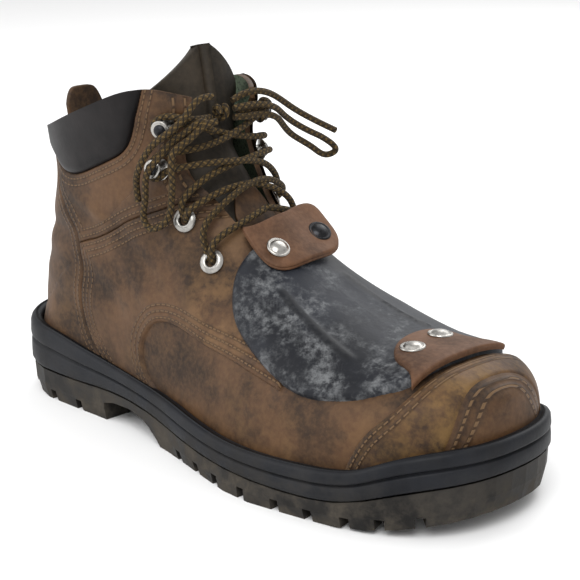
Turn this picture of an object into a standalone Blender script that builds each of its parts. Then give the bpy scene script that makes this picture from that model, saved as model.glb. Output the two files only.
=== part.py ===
"""Metatarsal guard work boot for the right foot, as separate named pieces.

Metres, +Z up, toe towards +X, the wearer's left towards +Y. The origin is the
middle of the heel's tread, on the floor. Lengths "along" run from the back of
the sole and are moved to the origin at the very end.

The upper is a last form: a row of stations runs from the toe tip back to the
heel seat and then up the shaft. Each station is a flat section between a base
point, on the sole or on the back seam, and a ridge point on the front.
"""

import math

import bmesh
import bpy
import numpy as np
from mathutils import Matrix, Vector

# Overall sizes
SOLE_LENGTH = 0.312
BALL_WIDTH = 0.104
TOE_HEIGHT = 0.070
INSTEP_HEIGHT = 0.105
SHAFT_HEIGHT = 0.165
ANKLE_WIDTH = 0.071
HEEL_TREAD_CENTRE = 0.046

# How the last sits on the sole
HEEL_SETBACK = 0.0075
TOE_SETBACK = 0.0065
FEATHER_DEPTH = 0.009
RIM_WIDTH = 0.0064
CUP_CLEARANCE = 0.0020
CUP_FLARE = 0.0019
RIM_HEIGHT = 0.043

# Walls and clearances
GAP = 0.0003
WALL = 0.0024
PANEL = 0.0015
TOE_LEATHER = 0.0022
COLLAR_PAD = 0.0034
INSOLE_THICKNESS = 0.004
TONGUE_THICKNESS = 0.005
GUARD_THICKNESS = 0.0024
TAB_THICKNESS = 0.0022
KEEPER_THICKNESS = 0.003
KEEPER_TILT = 0.14
KEEPER_CROWN = 0.0030
FLAP_THICKNESS = 0.002
PULL_TAB_THICKNESS = 0.0022
PULL_TAB_WIDTH = 0.025

# Tread
ARCH_LIFT = 0.0125
TOE_SPRING = 0.010
HEEL_SPRING = 0.006
BALL_FLARE = 0.0035
LUG_DEPTH = 0.0055
GROOVE_WIDTH = 0.0045
GROOVE_REACH = 0.021

# Metalwork and laces
EYELET_BORE = 0.0024
EYELET_RIM = 0.0058
EYELET_HEIGHT = 0.0013
STUD_RADIUS = 0.0056
STUD_HEIGHT = 0.0016
LACE_RADIUS = 0.0019

# The forefoot outline of the feather edge: share of the sole's length, half
# width and sideways swing as shares of the ball width
OUTLINE = (
    # along, half width, swing
    (0.00, 0.332, 0.000),
    (0.13, 0.332, 0.000),
    (0.20, 0.330, -0.004),
    (0.28, 0.318, -0.016),
    (0.36, 0.322, -0.032),
    (0.44, 0.350, -0.042),
    (0.52, 0.402, -0.046),
    (0.60, 0.455, -0.036),
    (0.67, 0.485, -0.020),
    (0.75, 0.498, 0.004),
    (0.84, 0.498, 0.028),
    (0.92, 0.498, 0.040),
    (1.00, 0.498, 0.042),
)
TOE_ROUND_FROM, TOE_ROUND_POWER = 0.775, 2.35
HEEL_ROUND_TO, HEEL_ROUND_POWER = 0.125, 2.15

# The rim of the sole: share of the sole's length, share of the rim's height at
# the heel
RIM_LINE = (
    # along, up
    (0.000, 1.00),
    (0.120, 0.91),
    (0.230, 0.78),
    (0.300, 0.71),
    (0.420, 0.64),
    (0.520, 0.585),
    (0.630, 0.53),
    (0.740, 0.55),
    (0.820, 0.60),
    (0.865, 0.67),
    (0.900, 0.78),
    (0.935, 0.87),
    (0.970, 0.92),
    (1.000, 0.94),
)

# The line between midsole and outsole, likewise
JOINT_LINE = (
    # along, up
    (0.00, 0.42),
    (0.20, 0.38),
    (0.34, 0.40),
    (0.46, 0.33),
    (0.62, 0.25),
    (0.77, 0.25),
    (0.86, 0.34),
    (0.92, 0.48),
    (1.00, 0.60),
)

# Stations of the last: base and ridge as shares of the sole's length, ridge
# height as a share of the size named beside it, belly half width as a share of
# the ball width, ridge swing likewise, belly height and upper roundness
STATIONS = (
    # station, base along, ridge along, size, ridge up, belly, swing, belly height, roundness
    (0, 0.9792, 0.9744, TOE_HEIGHT, 0.936, 0.490, 0.040, 0.36, 2.50),
    (1, 0.9551, 0.9470, TOE_HEIGHT, 0.950, 0.490, 0.040, 0.36, 2.50),
    (2, 0.8974, 0.8870, TOE_HEIGHT, 0.957, 0.492, 0.045, 0.35, 2.50),
    (3, 0.8269, 0.8130, TOE_HEIGHT, 0.943, 0.495, 0.053, 0.34, 2.40),
    (4, 0.7532, 0.7350, TOE_HEIGHT, 0.993, 0.495, 0.056, 0.32, 2.30),
    (5, 0.6795, 0.6640, INSTEP_HEIGHT, 0.733, 0.486, 0.050, 0.30, 2.15),
    (6, 0.6026, 0.5990, INSTEP_HEIGHT, 0.833, 0.457, 0.040, 0.27, 2.05),
    (7, 0.5224, 0.5440, INSTEP_HEIGHT, 0.957, 0.413, 0.028, 0.25, 2.00),
    (8, 0.4359, 0.5020, INSTEP_HEIGHT, 1.100, 0.380, 0.015, 0.25, 2.00),
    (9, 0.3397, 0.4765, SHAFT_HEIGHT, 0.782, 0.360, 0.008, 0.30, 2.05),
    (10, 0.2372, 0.4670, SHAFT_HEIGHT, 0.840, 0.353, 0.004, 0.36, 2.10),
    (11, 0.1360, 0.4635, SHAFT_HEIGHT, 0.885, 0.350, 0.000, 0.40, 2.15),
    (12, 0.0610, 0.4620, SHAFT_HEIGHT, 0.912, 0.346, 0.000, 0.42, 2.20),
    (13, 0.0300, 0.4620, SHAFT_HEIGHT, 0.931, 0.341, 0.000, 0.43, 2.20),
    (14, 0.0330, 0.4620, SHAFT_HEIGHT, 0.944, 0.334, 0.000, 0.44, 2.20),
    (15, 0.0480, 0.4620, SHAFT_HEIGHT, 0.957, 0.330, 0.000, 0.45, 2.20),
    (16, 0.0650, 0.4620, SHAFT_HEIGHT, 0.967, 0.328, 0.000, 0.45, 2.20),
    (17, 0.0790, 0.4635, SHAFT_HEIGHT, 0.976, 0.331, 0.000, 0.45, 2.20),
    (18, 0.0770, 0.4650, SHAFT_HEIGHT, 0.985, 0.341, 0.000, 0.45, 2.20),
    (19, 0.0740, 0.4665, SHAFT_HEIGHT, 0.994, 0.350, 0.000, 0.45, 2.20),
    (20, 0.0700, 0.4550, SHAFT_HEIGHT, 1.067, 0.358, 0.000, 0.45, 2.20),
    (21, 0.0680, 0.4250, SHAFT_HEIGHT, 1.145, 0.362, 0.000, 0.45, 2.20),
    (22, 0.0680, 0.3950, SHAFT_HEIGHT, 1.210, 0.362, 0.000, 0.45, 2.20),
)
HEEL_STATION = 13
TIP_HEIGHT = 0.050
LOWER_ROUNDNESS = 2.3

# The back seam above the heel: station, share of the shaft's height
BACK_SEAM = (
    # station, up
    (13, 0.206),
    (14, 0.345),
    (15, 0.461),
    (16, 0.582),
    (17, 0.691),
    (18, 0.782),
    (19, 0.855),
    (20, 0.909),
    (21, 0.970),
    (22, 1.020),
)

# Half width of the throat: station, share of the ankle width
THROAT = (
    # station, half width
    (6.85, 0.02),
    (7.15, 0.13),
    (7.60, 0.19),
    (8.40, 0.22),
    (9.30, 0.26),
    (10.2, 0.30),
    (11.2, 0.31),
    (12.5, 0.305),
    (14.0, 0.30),
    (17.0, 0.285),
    (20.5, 0.275),
)

# Seams and edges in the side view: shares of the sole's length and of the
# shaft's height
TOP_LINE = ((-0.02, 0.851), (0.055, 0.855), (0.12, 0.872), (0.20, 0.922), (0.29, 0.985), (0.372, 1.028), (0.42, 1.018), (0.50, 0.975))
COUNTER_SEAM = ((0.292, 0.10), (0.262, 0.18), (0.240, 0.225), (0.222, 0.275), (0.213, 0.36), (0.217, 0.46), (0.210, 0.53), (0.180, 0.61), (0.152, 0.67), (0.133, 0.735))
SHAFT_SEAM = ((0.170, 0.500), (0.215, 0.540), (0.258, 0.568), (0.296, 0.601), (0.331, 0.636), (0.366, 0.664), (0.400, 0.688), (0.428, 0.708), (0.470, 0.722), (0.530, 0.735))
COLLAR_SEAM = ((0.02, 0.800), (0.09, 0.800), (0.140, 0.778), (0.162, 0.752), (0.190, 0.742), (0.248, 0.772), (0.297, 0.812), (0.324, 0.842), (0.340, 0.880), (0.351, 0.925), (0.362, 0.975), (0.372, 1.060))
SADDLE_SEAM = ((0.440, 0.10), (0.424, 0.150), (0.398, 0.185), (0.380, 0.230), (0.376, 0.275), (0.386, 0.324), (0.405, 0.361), (0.436, 0.379), (0.474, 0.375), (0.525, 0.355), (0.574, 0.343), (0.623, 0.328), (0.672, 0.311))
SADDLE_END = ((0.700, 0.330), (0.690, 0.420), (0.650, 0.560))
GUARD_EDGE = ((0.893, 0.40), (0.889, 0.372), (0.868, 0.352), (0.836, 0.330), (0.792, 0.311), (0.756, 0.303), (0.720, 0.308), (0.666, 0.338), (0.610, 0.385), (0.572, 0.437), (0.553, 0.485), (0.541, 0.535), (0.538, 0.590), (0.545, 0.680))

# The two seams over the toe, likewise, from the rim up and over the top
BAND_SEAM = ((0.828, 0.02), (0.834, 0.157), (0.846, 0.210), (0.860, 0.255), (0.886, 0.312), (0.898, 0.349), (0.903, 0.385), (0.900, 0.420), (0.896, 0.520))
CAP_SEAM = ((0.945, 0.02), (0.950, 0.224), (0.954, 0.267), (0.955, 0.309), (0.951, 0.348), (0.942, 0.380), (0.930, 0.405), (0.905, 0.520))

# The toe tab and the lace keeper in plan: share of the sole's length, share of
# the ball width
TAB_EDGE = ((0.899, -0.268), (0.888, -0.235), (0.876, -0.209), (0.860, -0.192), (0.842, -0.172), (0.826, -0.132), (0.812, -0.070), (0.804, 0.000), (0.801, 0.080), (0.806, 0.150), (0.820, 0.190), (0.842, 0.195), (0.860, 0.195), (0.876, 0.215), (0.888, 0.250), (0.899, 0.290))
KEEPER_EDGE = ((0.533, -0.165), (0.560, -0.168), (0.585, -0.157), (0.599, -0.125), (0.608, -0.070), (0.612, 0.020), (0.610, 0.140), (0.603, 0.225), (0.588, 0.265), (0.563, 0.275), (0.541, 0.262), (0.534, 0.200), (0.538, 0.100), (0.540, 0.000), (0.537, -0.110))

# Lacing points: station and height on the last, each on both sides
EYELETS = ((7.73, 0.800), (9.22, 0.805))
HOOKS = ((12.3, 0.835), (17.15, 0.840))

# The bow, in shares of the sole's length, the ankle's width and the shaft's height
KNOT = (0.440, -0.042, 0.955)
# Strands over the lateral side: station, height on the last, lift
LATERAL_LOOP = (
    (18.30, 0.967, 0.0112), (17.20, 0.946, 0.0112), (16.05, 0.924, 0.0112), (14.75, 0.888, 0.0125), (13.2, 0.870, 0.0150),
    (11.90, 0.840, 0.0145), (10.79, 0.749, 0.0085), (10.55, 0.714, 0.0070), (10.13, 0.700, 0.0065), (9.70, 0.743, 0.0065),
    (9.70, 0.785, 0.0070), (9.99, 0.826, 0.0095), (10.60, 0.872, 0.0150), (12.10, 0.912, 0.0165), (14.20, 0.935, 0.0130),
    (15.80, 0.955, 0.0125), (16.90, 0.974, 0.0108),
)
LATERAL_END = (
    (19.35, 0.975, 0.0045), (19.30, 0.948, 0.0085), (18.80, 0.920, 0.0120), (17.20, 0.880, 0.0155), (15.40, 0.845, 0.0158),
    (13.30, 0.814, 0.0158), (12.20, 0.795, 0.0125), (11.26, 0.738, 0.0070),
)
MEDIAL_LOOP = ((0.4565, 0.013, 0.942), (0.462, 0.110, 0.940), (0.463, 0.200, 0.940), (0.465, 0.330, 0.930), (0.453, 0.460, 0.900), (0.440, 0.620, 0.850), (0.445, 0.800, 0.800), (0.452, 0.940, 0.775), (0.457, 0.965, 0.785), (0.452, 0.920, 0.815), (0.446, 0.780, 0.850), (0.441, 0.620, 0.890), (0.453, 0.460, 0.930), (0.465, 0.330, 0.957), (0.463, 0.200, 0.970), (0.462, 0.115, 0.971), (0.4565, 0.013, 0.967))
MEDIAL_END = ((0.449, 0.030, 0.986), (0.452, 0.105, 1.000), (0.456, 0.200, 1.006), (0.455, 0.330, 0.995), (0.449, 0.460, 0.970), (0.444, 0.620, 0.930), (0.450, 0.800, 0.885), (0.459, 0.958, 0.848))

# The tongue: station, half width as a share of the ankle's width
TONGUE_WIDTH = ((6.9, 0.32), (8.0, 0.37), (10.0, 0.43), (16.0, 0.45), (19.0, 0.44))
# station, sink of the middle
TONGUE_SINK = ((6.9, 0.0008), (8.5, 0.0022), (9.5, 0.0040), (10.5, 0.0075), (12.0, 0.0105), (14.0, 0.0118), (17.0, 0.0118), (19.0, 0.0100))
TONGUE_STEM = 19.0
TONGUE_RISE = 0.026
TONGUE_CORNER = (0.008, 0.002)

# Tread notches on the edge of the forefoot and of the heel: share of length
FOREFOOT_NOTCHES = (0.490, 0.545, 0.600, 0.663, 0.728, 0.786, 0.846, 0.895, 0.945)
HEEL_NOTCHES = (0.070, 0.130, 0.200)

# The underside of the arch: share of length, share of the arch's lift
ARCH = ((0.268, -0.50), (0.272, 0.78), (0.300, 0.95), (0.345, 1.00), (0.382, 0.86), (0.404, 0.62), (0.418, 0.30), (0.430, -0.20))

# Sampling
STATION_SAMPLES = (0, 0.12, 0.4, 0.8, 1.4, 2.3, 3.4, 4.6, 5.8, 7.0, 8.2, 9.4, 10.5, 11.5, 12.2, 12.65, 12.95, 13.4, 14.5, 16, 17.6, 19.2, 21)
HEIGHT_SAMPLES = (0, 0.02, 0.07, 0.17, 0.33, 0.52, 0.70, 0.85, 0.95, 1.0)
LOOP_SAMPLES = 52


def smooth(keys, values, at):
    """A natural cubic spline through the keyed values, read at the points."""
    keys, values = np.asarray(keys, float), np.asarray(values, float)
    count, step = len(keys), np.diff(keys)
    slope = np.diff(values) / step
    matrix, right = np.eye(count), np.zeros(count)
    for i in range(1, count - 1):
        matrix[i, i - 1 : i + 2] = step[i - 1], 2 * (step[i - 1] + step[i]), step[i]
        right[i] = 6 * (slope[i] - slope[i - 1])
    bend = np.linalg.solve(matrix, right)
    at = np.clip(np.asarray(at, float), keys[0], keys[-1])
    i = np.clip(np.searchsorted(keys, at) - 1, 0, count - 2)
    past, left, width = at - keys[i], keys[i + 1] - at, step[i]
    curve = (bend[i] * left**3 + bend[i + 1] * past**3) / (6 * width)
    low = (values[i] / width - bend[i] * width / 6) * left
    return curve + low + (values[i + 1] / width - bend[i + 1] * width / 6) * past


def column(table, key, value, at):
    """One column of a table read smoothly against another."""
    return smooth([row[key] for row in table], [row[value] for row in table], at)


def path(points, count):
    """Points evenly spaced on a smooth curve through a short list of points."""
    points = np.asarray(points, float)
    reach = np.r_[0, np.cumsum(np.linalg.norm(np.diff(points, axis=0), axis=1))]
    at = np.linspace(0, reach[-1], count)
    return np.stack([smooth(reach, points[:, k], at) for k in range(points.shape[1])], -1)


def fraction(along):
    return np.asarray(along, float) / SOLE_LENGTH


def toe_rounding(along):
    start, tip = TOE_ROUND_FROM * SOLE_LENGTH, SOLE_LENGTH - TOE_SETBACK
    return np.clip((along - start) / (tip - start), 0, 1)


def heel_rounding(along):
    stop = HEEL_ROUND_TO * SOLE_LENGTH
    return np.clip((stop - along) / (stop - HEEL_SETBACK), 0, 1)


def half_width(along):
    """Half the width of the feather edge, rounded to nothing at both ends."""
    width = BALL_WIDTH * column(OUTLINE, 0, 1, fraction(along))
    toe = (1 - toe_rounding(along) ** TOE_ROUND_POWER) ** (1 / TOE_ROUND_POWER)
    return width * toe * (1 - heel_rounding(along) ** HEEL_ROUND_POWER) ** (1 / HEEL_ROUND_POWER)


def swing(along):
    return BALL_WIDTH * column(OUTLINE, 0, 2, fraction(along))


def rim_height(along):
    return RIM_HEIGHT * column(RIM_LINE, 0, 1, fraction(along))


def feather_height(along):
    return rim_height(along) - FEATHER_DEPTH


def joint_height(along):
    return RIM_HEIGHT * column(JOINT_LINE, 0, 1, fraction(along))


def last_section(station):
    """Base, ridge and widths of the last's section at each station."""
    keys = [row[0] for row in STATIONS]
    read = lambda values: smooth(keys, values, station)
    tip = SOLE_LENGTH - TOE_SETBACK
    base = np.minimum(SOLE_LENGTH * read([row[1] for row in STATIONS]), tip)
    ridge = np.minimum(SOLE_LENGTH * read([row[2] for row in STATIONS]), tip - GAP)
    ridge_up = read([row[3] * row[4] for row in STATIONS])
    ridge_up = TIP_HEIGHT + (ridge_up - TIP_HEIGHT) * (1 - toe_rounding(ridge + GAP) ** 2.6) ** (1 / 2.2)
    belly = BALL_WIDTH * read([row[5] for row in STATIONS])
    belly = belly * (1 - toe_rounding(base) ** TOE_ROUND_POWER) ** (1 / TOE_ROUND_POWER)
    on_sole = station < HEEL_STATION
    base_half = np.where(on_sole, half_width(base), 0.0)
    back = SHAFT_HEIGHT * column(BACK_SEAM, 0, 1, np.maximum(station, HEEL_STATION))
    base_up = np.where(on_sole, feather_height(base), back)
    fade = np.clip((HEEL_STATION - station) / 2, 0, 1)
    return {
        "base": base,
        "base_up": base_up,
        "base_half": base_half,
        "base_swing": swing(base) * fade,
        "ridge": ridge,
        "ridge_up": ridge_up,
        "belly": np.maximum(belly, base_half),
        "swing": BALL_WIDTH * read([row[6] for row in STATIONS]),
        "belly_at": read([row[7] for row in STATIONS]),
        "round": read([row[8] for row in STATIONS]),
    }


def last_point(station, height, side):
    """A point on the last. Below the belly the width follows one superellipse
    from the base, above it another closes the section at the ridge."""
    station, height = np.broadcast_arrays(np.asarray(station, float), np.asarray(height, float))
    s = last_section(station)
    ratio = np.clip(s["base_half"] / np.maximum(s["belly"], 1e-6), 0, 1)
    above = np.clip((height - s["belly_at"]) / (1 - s["belly_at"]), 0, 1)
    below = np.clip((s["belly_at"] - height) / s["belly_at"], 0, 1)
    upper = (1 - above ** s["round"]) ** (1 / s["round"])
    lower = (1 - (1 - ratio**LOWER_ROUNDNESS) * below**LOWER_ROUNDNESS) ** (1 / LOWER_ROUNDNESS)
    width = s["belly"] * np.where(height >= s["belly_at"], upper, lower)
    middle = s["base_swing"] + (s["swing"] - s["base_swing"]) * height
    along = s["base"] + (s["ridge"] - s["base"]) * height
    up = s["base_up"] + (s["ridge_up"] - s["base_up"]) * height
    return np.stack([along, middle + side * width, up], -1)


def last_normal(station, height, side):
    """The outward direction, from small steps along the last both ways."""
    step_s, step_h = 0.02, 0.004
    station, height = np.broadcast_arrays(np.asarray(station, float), np.asarray(height, float))
    s0, s1 = np.maximum(station - step_s, 0.0), station + step_s
    h0, h1 = np.maximum(height - step_h, 0.0), np.minimum(height + step_h, 1.0)
    d_station = last_point(s1, height, side) - last_point(s0, height, side)
    d_height = last_point(station, h1, side) - last_point(station, h0, side)
    normal = side * np.cross(d_station, d_height)
    closed = (height > 0.9999) | ((height < 1e-4) & (station >= HEEL_STATION))
    normal[..., 1] = np.where(closed, 0.0, normal[..., 1])
    normal = np.where((station < 1e-4)[..., None], np.array([1.0, 0.0, 0.0]), normal)
    return normal / np.maximum(np.linalg.norm(normal, axis=-1, keepdims=True), 1e-12)


def skin_point(station, height, side, lift=0.0):
    """A point that stands off the last by a lift, measured square to it."""
    lift = np.asarray(lift, float)
    return last_point(station, height, side) + last_normal(station, height, side) * lift[..., None]


def edge_height(station, half):
    """The height on a section where it is this half width wide, near the ridge."""
    s = last_section(np.asarray(station, float))
    share = np.clip(half / s["belly"], 0, 1)
    return s["belly_at"] + (1 - s["belly_at"]) * (1 - share ** s["round"]) ** (1 / s["round"])


def material(name, colour, roughness, metallic=0.0):
    made = bpy.data.materials.new(name)
    made.use_nodes = True
    shader = made.node_tree.nodes["Principled BSDF"]
    shader.inputs["Base Color"].default_value = (*colour, 1.0)
    shader.inputs["Roughness"].default_value = roughness
    shader.inputs["Metallic"].default_value = metallic
    return made


def new_object(name, bm, finish, group, closed=True):
    """Turns a bmesh into an object. A closed one gets its normals turned out; an
    open sheet keeps the side it was built with."""
    bmesh.ops.remove_doubles(bm, verts=bm.verts, dist=1e-6)
    if closed:
        bmesh.ops.recalc_face_normals(bm, faces=bm.faces)
    mesh = bpy.data.meshes.new(name)
    bm.to_mesh(mesh)
    bm.free()
    made = bpy.data.objects.new(name, mesh)
    group.objects.link(made)
    if finish is None:
        made.hide_render = True
        made.display_type = "WIRE"
    else:
        mesh.materials.append(finish)
        mesh.shade_smooth()
        mesh.set_sharp_from_angle(angle=math.radians(40))
    return made


def grid_mesh(points):
    """An open sheet over a grid of points. Every cell is split the same way, so
    that sheets at different lifts stay parallel."""
    bm = bmesh.new()
    rows = [[bm.verts.new(p) for p in row] for row in points]
    for a, b in zip(rows, rows[1:]):
        for low, low_next, high_next, high in zip(a, a[1:], b[1:], b):
            bm.faces.new((low, low_next, high_next))
            bm.faces.new((low, high_next, high))
    return bm


def solidify(made, thickness, outward):
    shell = made.modifiers.new("wall", "SOLIDIFY")
    shell.thickness = thickness
    shell.offset = 1.0 if outward else -1.0
    shell.use_even_offset = False


def boolean(made, cutter, operation):
    cut = made.modifiers.new(cutter.name, "BOOLEAN")
    cut.operation = operation
    cut.object = cutter
    cut.solver = "EXACT"


def last_shell(name, finish, lift, thickness, outward, span=(0, 21)):
    """A shell that follows the whole last between two stations. The sheet is
    ordered lateral base, ridge, medial base."""
    stations = np.array([t for t in STATION_SAMPLES if span[0] <= t <= span[1]], float)
    heights = np.array(HEIGHT_SAMPLES)
    grid = []
    for t in stations:
        row_lift = lift(t) if callable(lift) else lift
        row_lift = np.full(len(heights), row_lift)
        left = skin_point(t, heights, -1, row_lift)
        right = skin_point(t, heights[-2::-1], 1, row_lift[1:])
        grid.append(np.vstack([left, right]))
    made = new_object(name, grid_mesh(grid), finish, PARTS, closed=False)
    solidify(made, thickness, outward)
    return made


def prism(name, outline, low, high, axis):
    """A cutter with a flat outline, pushed through along one axis."""
    bm = bmesh.new()
    place = {
        "Y": lambda p, depth: (p[0], depth, p[1]),
        "Z": lambda p, depth: (p[0], p[1], depth),
    }[axis]
    ends = [[bm.verts.new(place(p, depth)) for p in outline] for depth in (low, high)]
    count = len(outline)
    for i in range(count):
        j = (i + 1) % count
        bm.faces.new((ends[0][i], ends[0][j], ends[1][j], ends[1][i]))
    bm.faces.new(ends[0])
    bm.faces.new(ends[1])
    return new_object(name, bm, None, CUTTERS)


def side_points(seam, count=18):
    return path(np.asarray(seam) * (SOLE_LENGTH, SHAFT_HEIGHT), count)


def shifted(points, distance):
    """A flat line moved sideways, to the left of its direction."""
    step = np.gradient(np.asarray(points), axis=0)
    normal = np.stack([-step[:, 1], step[:, 0]], -1)
    return points + distance * normal / np.linalg.norm(normal, axis=1, keepdims=True)


def plan_points(edge, count=30):
    return path(np.asarray(edge) * (SOLE_LENGTH, BALL_WIDTH), count)


def rim_cut():
    """Everything below the sole's rim, as a side outline that ends overlays."""
    along = np.linspace(-0.02, SOLE_LENGTH + 0.02, 40)
    up = rim_height(np.clip(along, 0, SOLE_LENGTH)) + GAP * 2
    return np.stack([along, up], -1)


def outline_loop(offset):
    """The feather edge in plan as one closed loop, moved outward by an offset,
    from the heel round the lateral side to the toe and back. Both halves have
    the same number of points, so that opposite points can be joined."""
    half = LOOP_SAMPLES // 2
    turn = (1 - np.cos(np.linspace(0, math.pi, half * 8))) / 2
    tip = SOLE_LENGTH - TOE_SETBACK
    along = HEEL_SETBACK + (tip - HEEL_SETBACK) * turn
    sides = []
    for side in (-1, 1):
        line = np.stack([along, swing(along) * np.sin(math.pi * turn) ** 0.1 + side * half_width(along)], -1)
        sides.append(path_dense(line, half + 1))
    sides[1][0], sides[1][-1] = sides[0][0], sides[0][-1]
    loop = np.vstack([sides[0], sides[1][-2:0:-1]])
    step = np.roll(loop, -1, 0) - np.roll(loop, 1, 0)
    normal = np.stack([step[:, 1], -step[:, 0]], -1)
    normal /= np.linalg.norm(normal, axis=1, keepdims=True)
    return loop + normal * np.asarray(offset).reshape(-1, 1)


def path_dense(line, count):
    """Points along a line that is already dense, closer together at both ends."""
    reach = np.r_[0, np.cumsum(np.linalg.norm(np.diff(line, axis=0), axis=1))]
    share = np.linspace(0, 1, count)
    at = reach[-1] * (share - 0.35 * np.sin(2 * math.pi * share) / (2 * math.pi))
    return np.stack([np.interp(at, reach, line[:, k]) for k in range(2)], -1)


def loft_loops(name, loops, finish):
    """Joins closed loops of points into a solid, with both ends capped by
    strips from one side to the other."""
    bm = bmesh.new()
    rows = [[bm.verts.new(p) for p in loop] for loop in loops]
    count = len(rows[0])
    for a, b in zip(rows, rows[1:]):
        for i in range(count):
            j = (i + 1) % count
            bm.faces.new((a[i], a[j], b[j], b[i]))
    for row in (rows[0], rows[-1]):
        for i in range(count // 2):
            quad = (row[i], row[i + 1], row[(count - i - 1) % count], row[(count - i) % count])
            bm.faces.new(list(dict.fromkeys(quad)))
    return new_object(name, bm, finish, PARTS)


def loop_at(offset, height):
    """The outline at an offset, lifted by a function of the length."""
    flat = outline_loop(offset)
    along = np.clip(flat[:, 0], 0, SOLE_LENGTH)
    return np.column_stack([flat, height(along)])


def tread_height(along):
    """The bottom of the tread: flat, with a lift at the toe and at the back."""
    toe = np.clip((fraction(along) - 0.80) / 0.20, 0, 1) ** 1.6
    back = np.clip((0.12 - fraction(along)) / 0.12, 0, 1) ** 2.0
    return TOE_SPRING * toe + HEEL_SPRING * back


def build_outsole(finish):
    """The tread: a full outline, a little wider at the ball, cut by the arch,
    the edge notches and the channels between the lugs."""
    inset = 0.0026
    between = lambda share: lambda a: tread_height(a) + (joint_height(a) - tread_height(a)) * share
    along = fraction(outline_loop(0.0)[:, 0])
    ball = BALL_FLARE * np.exp(-(((along - 0.66) / 0.08) ** 2))
    rows = [
        loop_at(RIM_WIDTH - inset + ball, tread_height),
        loop_at(RIM_WIDTH - inset * 0.3 + ball * 0.6, between(0.45)),
        loop_at(RIM_WIDTH - inset * 0.1, lambda a: joint_height(a) - GAP),
    ]
    sole = loft_loops("outsole", rows, finish)
    arch = [(a * SOLE_LENGTH, u * ARCH_LIFT) for a, u in ARCH]
    boolean(sole, prism("arch_cut", arch, -BALL_WIDTH, BALL_WIDTH, "Y"), "DIFFERENCE")
    boolean(sole, tread_grooves(), "DIFFERENCE")
    return sole


def tread_grooves():
    """All grooves of the tread as one cutter: notches square to the edge on both
    sides and short cross channels between the middle lugs."""
    bm = bmesh.new()

    def bar(place, length, width, turn):
        floor = tread_height(place[0])
        lie = Matrix.Translation((*place, floor)) @ Matrix.Rotation(turn, 4, "Z")
        bmesh.ops.create_cube(bm, size=1.0, matrix=lie @ Matrix.Diagonal((length, width, 2 * LUG_DEPTH, 1)))

    edge = outline_loop(RIM_WIDTH)
    half = len(edge) // 2
    for notch in FOREFOOT_NOTCHES + HEEL_NOTCHES:
        for line in (edge[: half + 1], np.vstack([edge[half:], edge[:1]])[::-1]):
            at = np.array([np.interp(notch * SOLE_LENGTH, line[:, 0], line[:, k]) for k in (0, 1)])
            ahead = np.array([np.interp(notch * SOLE_LENGTH + 0.004, line[:, 0], line[:, k]) for k in (0, 1)])
            step = (ahead - at) / np.linalg.norm(ahead - at)
            inward = np.array([-step[1], step[0]])
            inward = inward * np.sign(inward @ (np.array([0.6 * SOLE_LENGTH, 0.0]) - at))
            place = at + inward * (GROOVE_REACH / 2 - 0.004)
            bar(place, GROOVE_REACH, GROOVE_WIDTH, math.atan2(inward[1], inward[0]))
    for a, b in zip(FOREFOOT_NOTCHES[:-1], FOREFOOT_NOTCHES[1:-1]):
        along = (a + b) / 2 * SOLE_LENGTH
        width = 2 * float(half_width(along)) - 2 * GROOVE_REACH - 0.006
        bar(np.array([along, float(swing(along))]), GROOVE_WIDTH * 0.8, width, 0.0)
    return new_object("groove_cut", bm, None, CUTTERS)


def build_midsole(finish):
    """The foam unit: side wall with a moulded groove and a rounded rim, and a
    seat inside for the upper and the insole."""
    wall = RIM_WIDTH
    share = lambda s: lambda a: joint_height(a) + GAP + (rim_height(a) - joint_height(a)) * s
    seat = lambda a: feather_height(a) - 4 * GAP
    profile = (
        # offset, height
        (wall - 0.0006, share(0.00)),
        (wall + 0.0006, share(0.15)),
        (wall + 0.0004, share(0.42)),
        (wall - 0.0012, share(0.52)),
        (wall + 0.0004, share(0.64)),
        (wall - 0.0017, share(1.00)),
        (CUP_CLEARANCE + CUP_FLARE, share(0.95)),
        (CUP_CLEARANCE, seat),
    )
    return loft_loops("midsole", [loop_at(o, h) for o, h in profile], finish)


def build_insole(finish):
    """The footbed that lies on the seat inside the upper."""
    inner = -(WALL + GAP * 12)
    low = lambda a: feather_height(a) - GAP
    high = lambda a: feather_height(a) + INSOLE_THICKNESS
    rows = [loop_at(inner, low), loop_at(inner, high)]
    return loft_loops("insole", rows, finish)


def throat_cutter():
    """A bar that follows the ridge and is as wide as the throat."""
    stations = np.linspace(THROAT[0][0], 21.0, 26)
    half = ANKLE_WIDTH * column(THROAT, 0, 1, stations)
    loops = []
    for t, g in zip(stations, half):
        s = last_section(np.array(t))
        middle = np.array([s["ridge"], s["swing"], s["ridge_up"]], float)
        rear = np.array([s["base"], s["base_swing"], s["base_up"]], float)
        out = (middle - rear) / np.linalg.norm(middle - rear)
        side = np.array([0.0, g, 0.0])
        low, high = middle - out * 0.030, middle + out * 0.015
        loops.append([low - side, low + side, high + side, high - side])
    bm = bmesh.new()
    rows = [[bm.verts.new(p) for p in loop] for loop in loops]
    for a, b in zip(rows, rows[1:]):
        for i in range(4):
            j = (i + 1) % 4
            bm.faces.new((a[i], a[j], b[j], b[i]))
    bm.faces.new(rows[0])
    bm.faces.new(rows[-1])
    return new_object("throat_cut", bm, None, CUTTERS)


def top_cutter():
    """Everything above the shaft's top line."""
    line = side_points(TOP_LINE, 24)
    high = SHAFT_HEIGHT * 1.6
    outline = [tuple(p) for p in line] + [(line[-1][0], high), (line[0][0], high)]
    return prism("top_cut", outline, -BALL_WIDTH, BALL_WIDTH, "Y")


def lacing_place(station, height, side, lift):
    """Where a lacing point sits: its centre and the way it faces."""
    where = skin_point(station, height, side, lift)
    facing = last_normal(station, height, side)
    return Vector(where), Vector(facing)


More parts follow.
